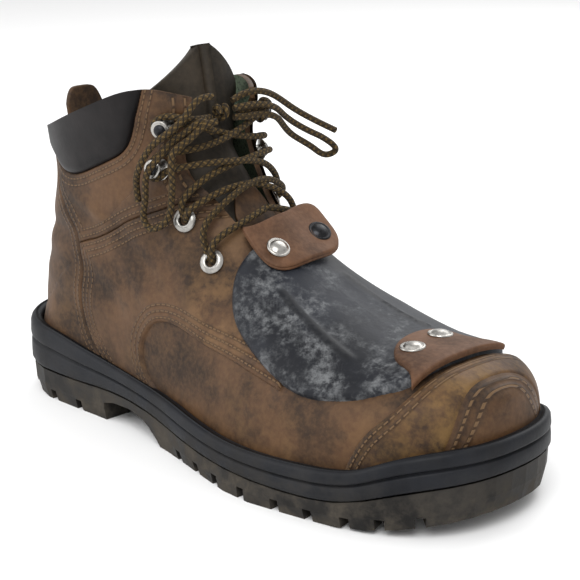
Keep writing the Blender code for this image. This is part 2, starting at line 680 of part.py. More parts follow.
def eyelet_cutter():
    bm = bmesh.new()
    for station, height in EYELETS:
        for side in (-1, 1):
            centre, facing = lacing_place(station, height, side, 0.0)
            place = Matrix.Translation(centre) @ facing.to_track_quat("Z", "Y").to_matrix().to_4x4()
            bmesh.ops.create_cone(bm, cap_ends=True, segments=12, radius1=EYELET_BORE + GAP * 5, radius2=EYELET_BORE + GAP * 5, depth=0.016, matrix=place)
    return new_object("eyelet_cut", bm, None, CUTTERS)


def build_upper(finish, cuts):
    upper = last_shell("upper", finish, 0.0, WALL, outward=False)
    for cutter in cuts:
        boolean(upper, cutter, "DIFFERENCE")
    return upper


def overlay(name, outline, sides, finish, lift, thickness, cuts, span=(0, 21), axis="Y"):
    """An overlay is a shell of the whole last, kept only inside an outline."""
    made = last_shell(name, finish, lift, thickness, outward=True, span=span)
    reach = BALL_WIDTH
    low, high = {(-1,): (-reach, 0.0), (1,): (0.0, reach), (-1, 1): (-reach, reach)}[sides]
    if axis == "Z":
        low, high = -0.02, SHAFT_HEIGHT * 1.2
    boolean(made, prism(name + "_keep", outline, low, high, axis), "INTERSECT")
    for cutter in cuts:
        boolean(made, cutter, "DIFFERENCE")
    return made


def counter_outline():
    seam = shifted(side_points(COUNTER_SEAM), GAP)
    rim = rim_cut()
    rim = rim[(rim[:, 0] < seam[0][0] - 0.001)]
    top = side_points(COLLAR_SEAM)
    top = shifted(top[top[:, 0] < seam[-1][0] - 0.002], -2 * GAP)
    return [tuple(p) for p in rim] + [tuple(p) for p in seam[seam[:, 1] > rim[-1][1] + 0.001]] + [tuple(p) for p in top[::-1]] + [(-0.02, top[0][1])]


def quarter_outline():
    """Between the rim, the counter, the shaft panel, the throat and the saddle
    seam, which sweeps forward under the guard."""
    counter = shifted(side_points(COUNTER_SEAM), -GAP)
    shaft = shifted(side_points(SHAFT_SEAM), -GAP)
    saddle = side_points(SADDLE_SEAM, 26)
    rim = rim_cut()
    start = counter[counter[:, 1] > np.interp(counter[:, 0], rim[:, 0], rim[:, 1]) + 0.0005]
    start = start[start[:, 1] < 0.525 * SHAFT_HEIGHT]
    first = shaft[shaft[:, 0] > start[-1][0] + 0.003]
    front = saddle[saddle[:, 1] > np.interp(saddle[:, 0], rim[:, 0], rim[:, 1]) + 0.0005]
    low = rim[(rim[:, 0] > start[0][0] + 0.001) & (rim[:, 0] < front[0][0] - 0.001)]
    end = [(a * SOLE_LENGTH, u * SHAFT_HEIGHT) for a, u in SADDLE_END]
    top = [(0.64 * SOLE_LENGTH, 0.75 * SHAFT_HEIGHT), (0.56 * SOLE_LENGTH, 0.80 * SHAFT_HEIGHT)]
    line = [tuple(p) for p in start] + [tuple(p) for p in first] + top[::-1] + end[::-1]
    return line + [tuple(p) for p in front[::-1]] + [tuple(p) for p in low[::-1]]


def shaft_outline():
    lower = shifted(side_points(SHAFT_SEAM), GAP)
    counter = shifted(side_points(COUNTER_SEAM), -GAP)
    counter = counter[counter[:, 1] > 0.545 * SHAFT_HEIGHT]
    collar = shifted(side_points(COLLAR_SEAM), -GAP)
    collar = collar[collar[:, 0] > counter[-1][0] + 0.002]
    lower = lower[lower[:, 0] > counter[0][0] + 0.003]
    high = SHAFT_HEIGHT * 1.2
    line = [tuple(p) for p in counter[::-1]] + [tuple(p) for p in lower]
    return line + [(lower[-1][0], high), (collar[-1][0], high)] + [tuple(p) for p in collar[::-1]]


def collar_outline():
    collar = shifted(side_points(COLLAR_SEAM), GAP)
    high = SHAFT_HEIGHT * 1.2
    return [(-0.02, collar[0][1])] + [tuple(p) for p in collar] + [(collar[-1][0], high), (-0.02, high)]


def guard_outline():
    edge = side_points(GUARD_EDGE, 26)
    high = SHAFT_HEIGHT
    return [(edge[0][0], high)] + [tuple(p) for p in edge] + [(edge[-1][0], high)]


def guard_lift(station):
    """Low over the vamp, then up over the quarters' front edge."""
    rise = float(np.clip((station - 3.3) / 1.4, 0, 1))
    return GAP * 3 + (PANEL + GAP) * rise


def tab_lift(station):
    """The toe tab lies on the band in front and climbs onto the guard."""
    low = TOE_LEATHER + 2 * GAP
    high = guard_lift(max(station, 2.3)) + GUARD_THICKNESS + GAP
    return low + (high - low) * float(np.clip((station - 1.2) / 0.7, 0, 1))


def tongue_sink(station):
    """How far the middle of the tongue lies below the last."""
    return column(TONGUE_SINK, 0, 1, station)


def patch(name, columns, rows, place, finish, thickness):
    """A sheet over a square of shares, across from -1 to 1 and up from 0 to 1,
    that a function puts in place, thickened inward."""
    grid = [[place(across, up) for across in np.linspace(-1, 1, columns)] for up in np.linspace(0, 1, rows)]
    made = new_object(name, grid_mesh(grid), finish, PARTS, closed=False)
    solidify(made, thickness, outward=False)
    return made


def build_tongue(finish):
    """A padded tongue inside the throat. Its sides lie close to the upper, its
    middle is sunk, and its top edge drops towards both sides."""

    def place(across, up):
        station = min(6.9 + (TONGUE_STEM - 6.9) * up / 0.8, TONGUE_STEM)
        half = ANKLE_WIDTH * column(TONGUE_WIDTH, 0, 1, station) * abs(across)
        height = edge_height(station, half)
        lift = -(WALL + 0.0012) - tongue_sink(station) * (1 - across**2)
        point = skin_point(station, height, -1 if across < 0 else 1, lift)
        corner = TONGUE_CORNER[0 if across < 0 else 1]
        rise = max(up - 0.8, 0) / 0.2 * (corner + (TONGUE_RISE - corner) * (1 - abs(across) ** 2.2))
        return point + np.array([-0.32 * rise, 0, rise])

    return patch("tongue", 11, 15, place, finish, TONGUE_THICKNESS)


def build_tongue_flap(finish):
    """A rounded flap of leather over the foot of the tongue."""

    def place(across, up):
        station = 7.35 + (8.75 - 0.75 * abs(across) ** 2.2 - 7.35) * up
        height = edge_height(station, 0.0122 * abs(across))
        return skin_point(station, height, -1 if across < 0 else 1, -0.0016)

    return patch("tongue_flap", 9, 7, place, finish, FLAP_THICKNESS)


def build_pull_tab(finish):
    """A tab inside the back of the shaft that stands over the collar."""

    def place(across, up):
        station = 17.3 + (20.9 - 0.9 * abs(across) ** 4 - 17.3) * up
        s = last_section(np.array(station))
        half = PULL_TAB_WIDTH / 2 * abs(across)
        share = np.clip(half / s["belly"], 0, 1)
        height = s["belly_at"] * (1 - (1 - share**LOWER_ROUNDNESS) ** (1 / LOWER_ROUNDNESS))
        return skin_point(station, height, -1 if across > 0 else 1, -(WALL + 4 * GAP))

    return patch("pull_tab", 9, 8, place, finish, PULL_TAB_THICKNESS)


def keeper_top(along, across):
    """The keeper's upper face: level across, tilted up to the medial side, over
    the ridge of the last."""
    stations = np.linspace(5.0, 9.0, 161)
    s = last_section(stations)
    ridge = np.interp(along, s["ridge"][::-1], s["ridge_up"][::-1])
    middle = 0.045 * BALL_WIDTH
    crown = KEEPER_CROWN * np.exp(-(((across - middle / 4) / 0.014) ** 2))
    level = ridge + guard_lift(6.5) + GUARD_THICKNESS + GAP + KEEPER_THICKNESS
    return level + KEEPER_TILT * (across - middle) + crown


def build_keeper(finish):
    """A stiff folded flap over the foot of the lacing."""
    edge = np.asarray(KEEPER_EDGE) * (SOLE_LENGTH, BALL_WIDTH)
    edge = path(np.vstack([edge, edge[:1]]), 27)[:-1]
    bm = bmesh.new()
    centre = edge.mean(0)
    rows = []
    for drop, shares in ((0.0, (0.0, 0.35, 0.7, 1.0)), (KEEPER_THICKNESS, (1.0, 0.7, 0.35, 0.0))):
        for share in shares:
            line = centre + (edge - centre) * share if share else [centre]
            rows.append([bm.verts.new((x, y, keeper_top(x, y) - drop)) for x, y in line])
    for a, b in zip(rows, rows[1:]):
        for k in range(len(edge)):
            j = (k + 1) % len(edge)
            quad = (a[k % len(a)], a[j % len(a)], b[j % len(b)], b[k % len(b)])
            bm.faces.new(list(dict.fromkeys(quad)))
    return new_object("lace_keeper", bm, finish, PARTS)


def turned(name, profile, centre, facing, finish, steps=11):
    """A profile of (radius, height) turned about its axis and set in place. The
    profile starts and ends on the axis, or is a closed ring."""
    bm = bmesh.new()
    ring = profile[0][0] > 1e-9
    rows = []
    for radius, height in profile:
        if radius < 1e-9:
            rows.append([bm.verts.new((0, 0, height))])
        else:
            turns = [2 * math.pi * k / steps for k in range(steps)]
            rows.append([bm.verts.new((radius * math.cos(a), radius * math.sin(a), height)) for a in turns])
    pairs = list(zip(rows, rows[1:])) + ([(rows[-1], rows[0])] if ring else [])
    for a, b in pairs:
        for k in range(steps):
            j = (k + 1) % steps
            quad = (a[k % len(a)], a[j % len(a)], b[j % len(b)], b[k % len(b)])
            bm.faces.new(list(dict.fromkeys(quad)))
    place = Matrix.Translation(centre) @ facing.to_track_quat("Z", "Y").to_matrix().to_4x4()
    bmesh.ops.transform(bm, matrix=place, verts=bm.verts)
    return new_object(name, bm, finish, PARTS)


def build_eyelets(finish):
    """A rolled rim outside and a barrel down through the wall."""
    barrel = EYELET_BORE + GAP * 3
    profile = (
        # radius, height
        (EYELET_BORE, 0.0),
        (EYELET_BORE + 0.0008, EYELET_HEIGHT * 0.9),
        (EYELET_BORE + 0.0020, EYELET_HEIGHT),
        (EYELET_RIM, EYELET_HEIGHT * 0.35),
        (EYELET_RIM, GAP),
        (barrel, GAP),
        (barrel, -(PANEL + WALL + 3 * GAP)),
        (EYELET_BORE, -(PANEL + WALL + 3 * GAP)),
    )
    for number, (station, height) in enumerate(EYELETS, 1):
        for side, word in ((-1, "lateral"), (1, "medial")):
            centre, facing = lacing_place(station, height, side, PANEL + 4 * GAP)
            turned(f"eyelet_{word}_{number}", profile, centre, facing, finish)


def build_hooks(finish):
    """A lacing stud: a foot, a neck and a wide head that the lace goes behind."""
    profile = (
        # radius, height
        (0.0, GAP),
        (0.0052, GAP),
        (0.0052, 0.0010),
        (0.0021, 0.0018),
        (0.0021, 0.0060),
        (0.0046, 0.0066),
        (0.0046, 0.0074),
        (0.0, 0.0084),
    )
    for number, (station, height) in enumerate(HOOKS, 1):
        for side, word in ((-1, "lateral"), (1, "medial")):
            centre, facing = lacing_place(station, height, side, PANEL + 2 * GAP)
            turned(f"lace_hook_{word}_{number}", profile, centre, facing, finish)


def surface_at(along, across, lift):
    """Finds the point of the last under a plan position, and lifts it."""
    stations, heights = np.linspace(1.0, 5.0, 161), np.linspace(0.55, 1.0, 181)
    side = -1 if across < float(swing(np.array(along))) else 1
    t, h = np.meshgrid(stations, heights, indexing="ij")
    points = last_point(t, h, side)
    miss = (points[..., 0] - along) ** 2 + (points[..., 1] - across) ** 2
    i, j = np.unravel_index(np.argmin(miss), miss.shape)
    return lacing_place(stations[i], heights[j], side, lift)


def build_studs(finish):
    """Two snap studs on the keeper and two rivets on the toe tab."""
    dome = (
        # radius, height
        (0.0, 2 * GAP),
        (STUD_RADIUS, 2 * GAP),
        (STUD_RADIUS, STUD_HEIGHT * 0.5),
        (STUD_RADIUS * 0.8, STUD_HEIGHT * 0.9),
        (0.0, STUD_HEIGHT),
    )
    step = 0.002
    for name, along, across in (("keeper_stud_lateral", 0.578, -0.075), ("keeper_stud_medial", 0.577, 0.185)):
        x, y = along * SOLE_LENGTH, across * BALL_WIDTH
        rise = (keeper_top(x + step, y) - keeper_top(x - step, y)) / (2 * step)
        facing = Vector((-rise, -KEEPER_TILT, 1.0)).normalized()
        turned(name, dome, Vector((x, y, keeper_top(x, y) + GAP)), facing, finish)
    for name, along, across in (("toe_rivet_lateral", 0.842, -0.072), ("toe_rivet_medial", 0.834, 0.105)):
        centre, facing = surface_at(along * SOLE_LENGTH, across * BALL_WIDTH, tab_lift(2.7) + TAB_THICKNESS)
        turned(name, dome, centre, facing, finish)


def route_points(route):
    """A hand-chosen route in shares of the three sizes it is given in."""
    return np.asarray(route) * (SOLE_LENGTH, ANKLE_WIDTH, SHAFT_HEIGHT)


def route_line(points, count):
    """Points on a smooth curve through a route, the same number between each two
    route points, so that tight turns get closer points."""
    points = np.asarray(points, float)
    reach = np.r_[0, np.cumsum(np.linalg.norm(np.diff(points, axis=0), axis=1))]
    at = np.interp(np.linspace(0, len(reach) - 1, count), np.arange(len(reach)), reach)
    return np.stack([smooth(reach, points[:, k], at) for k in range(3)], -1)


def cord(name, points, finish, count):
    """A round cord along a smooth path, as a curve with filled caps."""
    data = bpy.data.curves.new(name, "CURVE")
    data.dimensions = "3D"
    data.bevel_depth = LACE_RADIUS
    data.bevel_resolution = 2
    data.use_fill_caps = True
    line = route_line(points, count)
    spline = data.splines.new("POLY")
    spline.points.add(len(line) - 1)
    for point, at in zip(spline.points, line):
        point.co = (*at, 1.0)
    data.materials.append(finish)
    made = bpy.data.objects.new(name, data)
    PARTS.objects.link(made)
    return made


def around(place, side, turn, radius, lift, slide=0.0):
    """A point on a circle round a lacing point, in the plane of the leather. A
    turn of nothing is the side away from the throat, a quarter turn is up; the
    slide moves it towards the throat."""
    centre, facing = lacing_place(*place, side, lift)
    out = Vector(last_point(place[0], place[1] - 0.03, side)) - Vector(last_point(*place, side))
    out = (out - facing * out.dot(facing)).normalized()
    up = Vector(last_point(place[0] + 0.3, place[1], side)) - Vector(last_point(*place, side))
    up = (up - facing * up.dot(facing) - out * up.dot(out)).normalized()
    return np.array(centre + out * (radius * math.cos(turn) - slide) + up * radius * math.sin(turn))


def crossing_route(side, level):
    """One half of the lacing, from the foot of the throat up to the knot. It runs
    over each eyelet and behind each hook's head, and crosses the middle a little
    above or below the other half."""
    mouth, neck, ring = 0.0067, 0.0062, 0.0047

    def edge(station, turn, lift=0.0062):
        """Just outside the throat, on this side or the other."""
        half = ANKLE_WIDTH * float(column(THROAT, 0, 1, station)) + 0.0022
        return skin_point(station, edge_height(station, half), side * turn, lift)

    def middle(station, lift):
        point = skin_point(station, 1.0, 1, lift + level)
        return point + np.array([0, 0.0005 * side, 0])

    def wrapped(place, turn):
        """Round the neck of a hook, from below to above."""
        quarter = math.pi / 2
        steps = [(-1.0, 0.0045), (-1.0, 0.0), (-0.5, 0.0), (0.0, 0.0), (0.5, 0.0), (1.0, 0.0), (1.0, 0.0045)]
        return [around(place, side * turn, quarter * a, ring, neck, slide) for a, slide in steps]

    points = [
        np.array([0.5210 * SOLE_LENGTH, 0.002, 0.697 * SHAFT_HEIGHT]),
        edge(7.75, 1),
        skin_point(EYELETS[0][0] + 0.05, EYELETS[0][1] + 0.012, side, mouth),
        skin_point(EYELETS[0][0] + 0.45, EYELETS[0][1] + 0.020, side, mouth),
        edge(8.45, 1),
        middle(8.60, 0.0026),
        edge(9.0, -1),
        skin_point(EYELETS[1][0] - 0.05, EYELETS[1][1] + 0.015, -side, mouth),
        skin_point(EYELETS[1][0] + 0.30, EYELETS[1][1] + 0.020, -side, mouth),
        edge(9.75, -1),
        middle(9.60, 0.0010),
        edge(11.3, 1, 0.0070),
        *wrapped(HOOKS[0], 1),
        edge(13.4, 1, 0.0068),
        middle(11.3, -0.0035),
        edge(16.1, -1, 0.0068),
        *wrapped(HOOKS[1], -1),
        edge(18.6, -1, 0.0072),
        np.array([0.437 * SOLE_LENGTH, -side * 0.0085, 0.945 * SHAFT_HEIGHT]),
    ]
    return np.array(points)


def build_laces(finish):
    """The two crossing halves joined in one solid, then knot, loops and ends."""
    halves = [as_solid(cord(f"lacing_{word}", crossing_route(side, level), finish, 66)) for side, level, word in ((-1, 0.0010, "a"), (1, -0.0010, "b"))]
    joined, other = halves
    joined.name = "lace_crossings"
    CUTTERS.objects.link(other)
    PARTS.objects.unlink(other)
    other.hide_render = True
    other.display_type = "WIRE"
    boolean(joined, other, "UNION")
    centre = np.array(KNOT) * (SOLE_LENGTH, ANKLE_WIDTH, SHAFT_HEIGHT)
    turns = np.linspace(0, 2 * math.pi * 1.25, 20)
    radius, pitch = 0.0026, 0.0043
    curl = [centre + (radius * math.cos(a), pitch * (a / (2 * math.pi) - 0.62), radius * math.sin(a)) for a in turns]
    cord("lace_knot", curl, finish, 18)
    on_last = lambda route: [skin_point(station, height, -1, lift) for station, height, lift in route]
    cord("lace_loop_lateral", on_last(LATERAL_LOOP), finish, 30)
    cord("lace_loop_medial", route_points(MEDIAL_LOOP), finish, 22)
    cord("lace_end_lateral", on_last(LATERAL_END), finish, 12)
    cord("lace_end_medial", route_points(MEDIAL_END), finish, 10)


def as_solid(made):
    """A curve turned into a mesh, with its caps welded on."""
    bpy.context.view_layer.update()
    evaluated = made.evaluated_get(bpy.context.evaluated_depsgraph_get())
    mesh = bpy.data.meshes.new_from_object(evaluated)
    name = made.name
    bpy.data.objects.remove(made)
    bm = bmesh.new()
    bm.from_mesh(mesh)
    bmesh.ops.remove_doubles(bm, verts=bm.verts, dist=1e-6)
    bmesh.ops.recalc_face_normals(bm, faces=bm.faces)
    bm.to_mesh(mesh)
    bm.free()
    solid = bpy.data.objects.new(name, mesh)
    PARTS.objects.link(solid)
    return solid


def move_to_origin():
    """The tables run from the back of the sole; the origin is on the heel."""
    shift = Matrix.Translation((-HEEL_TREAD_CENTRE, 0, 0))
    for made in list(PARTS.objects) + list(CUTTERS.objects):
        made.data.transform(shift)


def collection(name):
    made = bpy.data.collections.new(name)
    bpy.context.scene.collection.children.link(made)
    return made


for old in list(bpy.data.objects):
    bpy.data.objects.remove(old)
PARTS = collection("metatarsal_guard_boot")
CUTTERS = collection("cutters")


def main():
    brown = material("oiled_leather", (0.22, 0.13, 0.075), 0.6)
    tan = material("tan_leather", (0.30, 0.17, 0.09), 0.6)
    dark = material("collar_leather", (0.035, 0.028, 0.028), 0.45)
    olive = material("tongue_leather", (0.13, 0.10, 0.075), 0.6)
    plate = material("guard_rubber", (0.05, 0.053, 0.065), 0.7)
    foam = material("midsole_foam", (0.035, 0.038, 0.045), 0.55)
    rubber = material("outsole_rubber", (0.06, 0.055, 0.05), 0.75)
    footbed = material("footbed", (0.05, 0.06, 0.04), 0.9)
    steel = material("steel", (0.6, 0.59, 0.56), 0.3, 1.0)
    cord_finish = material("lace_cord", (0.30, 0.22, 0.08), 0.8)

    build_outsole(rubber)
    build_midsole(foam)
    build_insole(footbed)

    throat, top, eyelets = throat_cutter(), top_cutter(), eyelet_cutter()
    build_upper(brown, (throat, top, eyelets))
    on_shaft = (throat, top, eyelets)
    below_rim = [tuple(p) for p in rim_cut()] + [(SOLE_LENGTH + 0.02, -0.02), (-0.02, -0.02)]
    under = prism("rim_cut", below_rim, -BALL_WIDTH, BALL_WIDTH, "Y")
    for side, word in ((-1, "lateral"), (1, "medial")):
        overlay(f"quarter_{word}", quarter_outline(), (side,), brown, GAP, PANEL, on_shaft, span=(3.2, 15))
        overlay(f"shaft_panel_{word}", shaft_outline(), (side,), brown, GAP, PANEL, on_shaft, span=(8, 21))
    overlay("heel_counter", counter_outline(), (-1, 1), brown, GAP, PANEL, (), span=(8, 21))
    overlay("collar", collar_outline(), (-1, 1), dark, GAP, COLLAR_PAD, (top,), span=(12, 21))

    behind, front = side_points(BAND_SEAM), side_points(CAP_SEAM)
    band = [tuple(p) for p in shifted(behind, -GAP)] + [tuple(p) for p in shifted(front, GAP)][::-1]
    beyond = SOLE_LENGTH + 0.02
    cap = [tuple(p) for p in shifted(front, -GAP)] + [(beyond, front[-1][1]), (beyond, front[0][1])]
    overlay("toe_band", band, (-1, 1), brown, GAP, TOE_LEATHER, (under,), span=(0, 5))
    overlay("toe_cap", cap, (-1, 1), brown, GAP, TOE_LEATHER, (under,), span=(0, 4))
    overlay("met_guard", guard_outline(), (-1, 1), plate, guard_lift, GUARD_THICKNESS, (), span=(1.4, 9.6))
    tab = [tuple(p) for p in plan_points(TAB_EDGE)]
    overlay("guard_tab", tab, (-1, 1), tan, tab_lift, TAB_THICKNESS, (under,), span=(0.7, 4), axis="Z")
    build_keeper(tan)

    build_tongue(olive)
    build_tongue_flap(brown)
    build_pull_tab(tan)
    build_eyelets(steel)
    build_hooks(steel)
    build_studs(steel)
    build_laces(cord_finish)
    move_to_origin()


main()
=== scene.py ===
"""The look of the metatarsal guard boot: fine surfaces over the CAD frame."""

# %% [markdown]
# The boot is one last form, read from a short table of stations. Every panel
# follows that form at its own lift, so all pieces fit each other. Lengths are
# in metres; "along" runs from the back of the sole.

import math

import bpy
import numpy as np
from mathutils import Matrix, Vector


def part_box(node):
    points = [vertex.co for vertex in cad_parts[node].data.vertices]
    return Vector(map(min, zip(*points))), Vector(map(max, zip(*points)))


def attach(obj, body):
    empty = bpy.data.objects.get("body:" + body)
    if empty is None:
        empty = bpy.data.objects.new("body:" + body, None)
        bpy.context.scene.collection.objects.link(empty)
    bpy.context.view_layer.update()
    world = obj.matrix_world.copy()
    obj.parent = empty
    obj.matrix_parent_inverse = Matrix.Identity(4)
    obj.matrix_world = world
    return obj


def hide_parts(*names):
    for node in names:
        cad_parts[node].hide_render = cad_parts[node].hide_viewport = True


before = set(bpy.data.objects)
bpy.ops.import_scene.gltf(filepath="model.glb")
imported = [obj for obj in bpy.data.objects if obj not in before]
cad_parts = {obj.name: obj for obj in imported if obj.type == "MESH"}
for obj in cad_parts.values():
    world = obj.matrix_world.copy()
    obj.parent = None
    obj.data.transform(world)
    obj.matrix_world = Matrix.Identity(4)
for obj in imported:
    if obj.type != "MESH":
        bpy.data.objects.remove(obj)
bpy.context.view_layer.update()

# %% Sizes and tables
SOLE_LENGTH = 0.312
BALL_WIDTH = 0.104
TOE_HEIGHT = 0.070
INSTEP_HEIGHT = 0.105
SHAFT_HEIGHT = 0.165
ANKLE_WIDTH = 0.071
ORIGIN = np.array([0.046, 0.0, 0.0])
HEEL_SETBACK, TOE_SETBACK = 0.0075, 0.0065
FEATHER_DEPTH, RIM_WIDTH, RIM_HEIGHT = 0.009, 0.0064, 0.043
GAP, WALL, PANEL, TOE_LEATHER, COLLAR_PAD = 0.0003, 0.0024, 0.0015, 0.0022, 0.0034
GUARD_THICKNESS, TAB_THICKNESS = 0.0024, 0.0022
LACE_RADIUS = 0.0016

OUTLINE = (
    # along, half width, swing
    (0.00, 0.332, 0.000), (0.13, 0.332, 0.000), (0.20, 0.330, -0.004), (0.28, 0.318, -0.016),
    (0.36, 0.322, -0.032), (0.44, 0.350, -0.042), (0.52, 0.402, -0.046), (0.60, 0.455, -0.036),
    (0.67, 0.485, -0.020), (0.75, 0.498, 0.004), (0.84, 0.498, 0.028), (0.92, 0.498, 0.040),
    (1.00, 0.498, 0.042),
)
RIM_LINE = (
    # along, share of the rim's height
    (0.000, 1.00), (0.120, 0.91), (0.230, 0.78), (0.300, 0.71), (0.420, 0.64), (0.520, 0.585),
    (0.630, 0.53),
    (0.740, 0.55), (0.820, 0.60), (0.865, 0.67), (0.900, 0.78), (0.935, 0.87), (0.970, 0.92), (1.000, 0.94),
)
JOINT_LINE = (
    # along, share of the rim's height
    (0.00, 0.42), (0.20, 0.38), (0.34, 0.40), (0.46, 0.33), (0.62, 0.25), (0.77, 0.25), (0.86, 0.34),
    (0.92, 0.48), (1.00, 0.60),
)
STATIONS = (
    # station, base along, ridge along, size, ridge up, belly, swing, belly height, roundness
    (0, 0.9792, 0.9744, TOE_HEIGHT, 0.936, 0.490, 0.040, 0.36, 2.50),
    (1, 0.9551, 0.9470, TOE_HEIGHT, 0.950, 0.490, 0.040, 0.36, 2.50),
    (2, 0.8974, 0.8870, TOE_HEIGHT, 0.957, 0.492, 0.045, 0.35, 2.50),
    (3, 0.8269, 0.8130, TOE_HEIGHT, 0.943, 0.495, 0.053, 0.34, 2.40),
    (4, 0.7532, 0.7350, TOE_HEIGHT, 0.993, 0.495, 0.056, 0.32, 2.30),
    (5, 0.6795, 0.6640, INSTEP_HEIGHT, 0.733, 0.486, 0.050, 0.30, 2.15),
    (6, 0.6026, 0.5990, INSTEP_HEIGHT, 0.833, 0.457, 0.040, 0.27, 2.05),
    (7, 0.5224, 0.5440, INSTEP_HEIGHT, 0.957, 0.413, 0.028, 0.25, 2.00),
    (8, 0.4359, 0.5020, INSTEP_HEIGHT, 1.100, 0.380, 0.015, 0.25, 2.00),
    (9, 0.3397, 0.4765, SHAFT_HEIGHT, 0.782, 0.360, 0.008, 0.30, 2.05),
    (10, 0.2372, 0.4670, SHAFT_HEIGHT, 0.840, 0.353, 0.004, 0.36, 2.10),
    (11, 0.1360, 0.4635, SHAFT_HEIGHT, 0.885, 0.350, 0.000, 0.40, 2.15),
    (12, 0.0610, 0.4620, SHAFT_HEIGHT, 0.912, 0.346, 0.000, 0.42, 2.20),
    (13, 0.0300, 0.4620, SHAFT_HEIGHT, 0.931, 0.341, 0.000, 0.43, 2.20),
    (14, 0.0330, 0.4620, SHAFT_HEIGHT, 0.944, 0.334, 0.000, 0.44, 2.20),
    (15, 0.0480, 0.4620, SHAFT_HEIGHT, 0.957, 0.330, 0.000, 0.45, 2.20),
    (16, 0.0650, 0.4620, SHAFT_HEIGHT, 0.967, 0.328, 0.000, 0.45, 2.20),
    (17, 0.0790, 0.4635, SHAFT_HEIGHT, 0.976, 0.331, 0.000, 0.45, 2.20),
    (18, 0.0770, 0.4650, SHAFT_HEIGHT, 0.985, 0.341, 0.000, 0.45, 2.20),
    (19, 0.0740, 0.4665, SHAFT_HEIGHT, 0.994, 0.350, 0.000, 0.45, 2.20),
    (20, 0.0700, 0.4550, SHAFT_HEIGHT, 1.067, 0.358, 0.000, 0.45, 2.20),
    (21, 0.0680, 0.4250, SHAFT_HEIGHT, 1.145, 0.362, 0.000, 0.45, 2.20),
    (22, 0.0680, 0.3950, SHAFT_HEIGHT, 1.210, 0.362, 0.000, 0.45, 2.20),
)
HEEL_STATION, TIP_HEIGHT, LOWER_ROUNDNESS = 13, 0.050, 2.3
BACK_SEAM = (
    # station, share of the shaft's height
    (13, 0.206), (14, 0.345), (15, 0.461), (16, 0.582), (17, 0.691), (18, 0.782), (19, 0.855),
    (20, 0.909), (21, 0.970), (22, 1.020),
)
THROAT = (
    # station, half width as a share of the ankle's width
    (6.85, 0.02), (7.15, 0.13), (7.60, 0.19), (8.40, 0.22), (9.30, 0.26), (10.2, 0.30), (11.2, 0.31),
    (12.5, 0.305),
    (14.0, 0.30), (17.0, 0.285), (20.5, 0.275),
)
# Seams in the side view: share of the sole's length, share of the shaft's height
TOP_LINE = (
    (-0.02, 0.851), (0.055, 0.855), (0.12, 0.872), (0.20, 0.922), (0.29, 0.985), (0.372, 1.028),
    (0.42, 1.018), (0.50, 0.975),
)
COUNTER_SEAM = (
    (0.292, 0.10), (0.262, 0.18), (0.240, 0.225), (0.222, 0.275), (0.213, 0.36), (0.217, 0.46),
    (0.210, 0.53), (0.180, 0.61), (0.152, 0.67), (0.133, 0.735),
)
SHAFT_SEAM = (
    (0.170, 0.500), (0.215, 0.540), (0.258, 0.568), (0.296, 0.601), (0.331, 0.636), (0.366, 0.664),
    (0.400, 0.688), (0.428, 0.708), (0.470, 0.722), (0.530, 0.735),
)
COLLAR_SEAM = (
    (0.02, 0.800), (0.09, 0.800), (0.140, 0.778), (0.162, 0.752), (0.190, 0.742), (0.248, 0.772),
    (0.297, 0.812), (0.324, 0.842), (0.340, 0.880), (0.351, 0.925), (0.362, 0.975), (0.372, 1.060),
)
SADDLE_SEAM = (
    (0.440, 0.10), (0.424, 0.150), (0.398, 0.185), (0.380, 0.230), (0.376, 0.275), (0.386, 0.324),
    (0.405, 0.361), (0.436, 0.379), (0.474, 0.375), (0.525, 0.355), (0.574, 0.343), (0.623, 0.328),
    (0.672, 0.311),
)
GUARD_EDGE = (
    (0.893, 0.40), (0.889, 0.372), (0.868, 0.352), (0.836, 0.330), (0.792, 0.311), (0.756, 0.303),
    (0.720, 0.308), (0.666, 0.338), (0.610, 0.385), (0.572, 0.437), (0.553, 0.485), (0.541, 0.535),
    (0.538, 0.590), (0.545, 0.680),
)
BAND_SEAM = (
    (0.828, 0.02), (0.834, 0.157), (0.846, 0.210), (0.860, 0.255), (0.886, 0.312), (0.898, 0.349),
    (0.903, 0.385), (0.900, 0.420), (0.896, 0.520),
)
CAP_SEAM = (
    (0.945, 0.02), (0.950, 0.224), (0.954, 0.267), (0.955, 0.309), (0.951, 0.348), (0.942, 0.380),
    (0.930, 0.405), (0.905, 0.520),
)
# Outlines in plan: share of the sole's length, share of the ball width
TAB_EDGE = (
    (0.899, -0.268), (0.888, -0.235), (0.876, -0.209), (0.860, -0.192), (0.842, -0.172),
    (0.826, -0.132), (0.812, -0.070), (0.804, 0.000), (0.801, 0.080), (0.806, 0.150), (0.820, 0.190),
    (0.842, 0.195), (0.860, 0.195), (0.876, 0.215), (0.888, 0.250), (0.899, 0.290),
)
KEEPER_EDGE = (
    (0.533, -0.165), (0.560, -0.168), (0.585, -0.157), (0.599, -0.125), (0.608, -0.070),
    (0.612, 0.020), (0.610, 0.140), (0.603, 0.225), (0.588, 0.265), (0.563, 0.275), (0.541, 0.262),
    (0.534, 0.200), (0.538, 0.100), (0.540, 0.000), (0.537, -0.110),
)
EYELETS = ((7.73, 0.800), (9.22, 0.805))
HOOKS = ((12.3, 0.835), (17.15, 0.840))

# %% [markdown]
# The form itself is what a shoemaker calls the last. It could be modelled by hand,
# but a formula lets every panel follow it at any fineness. A natural cubic spline
# reads the tables; a superellipse gives
# each section its width; the outward direction comes from small steps.

# %% The last form


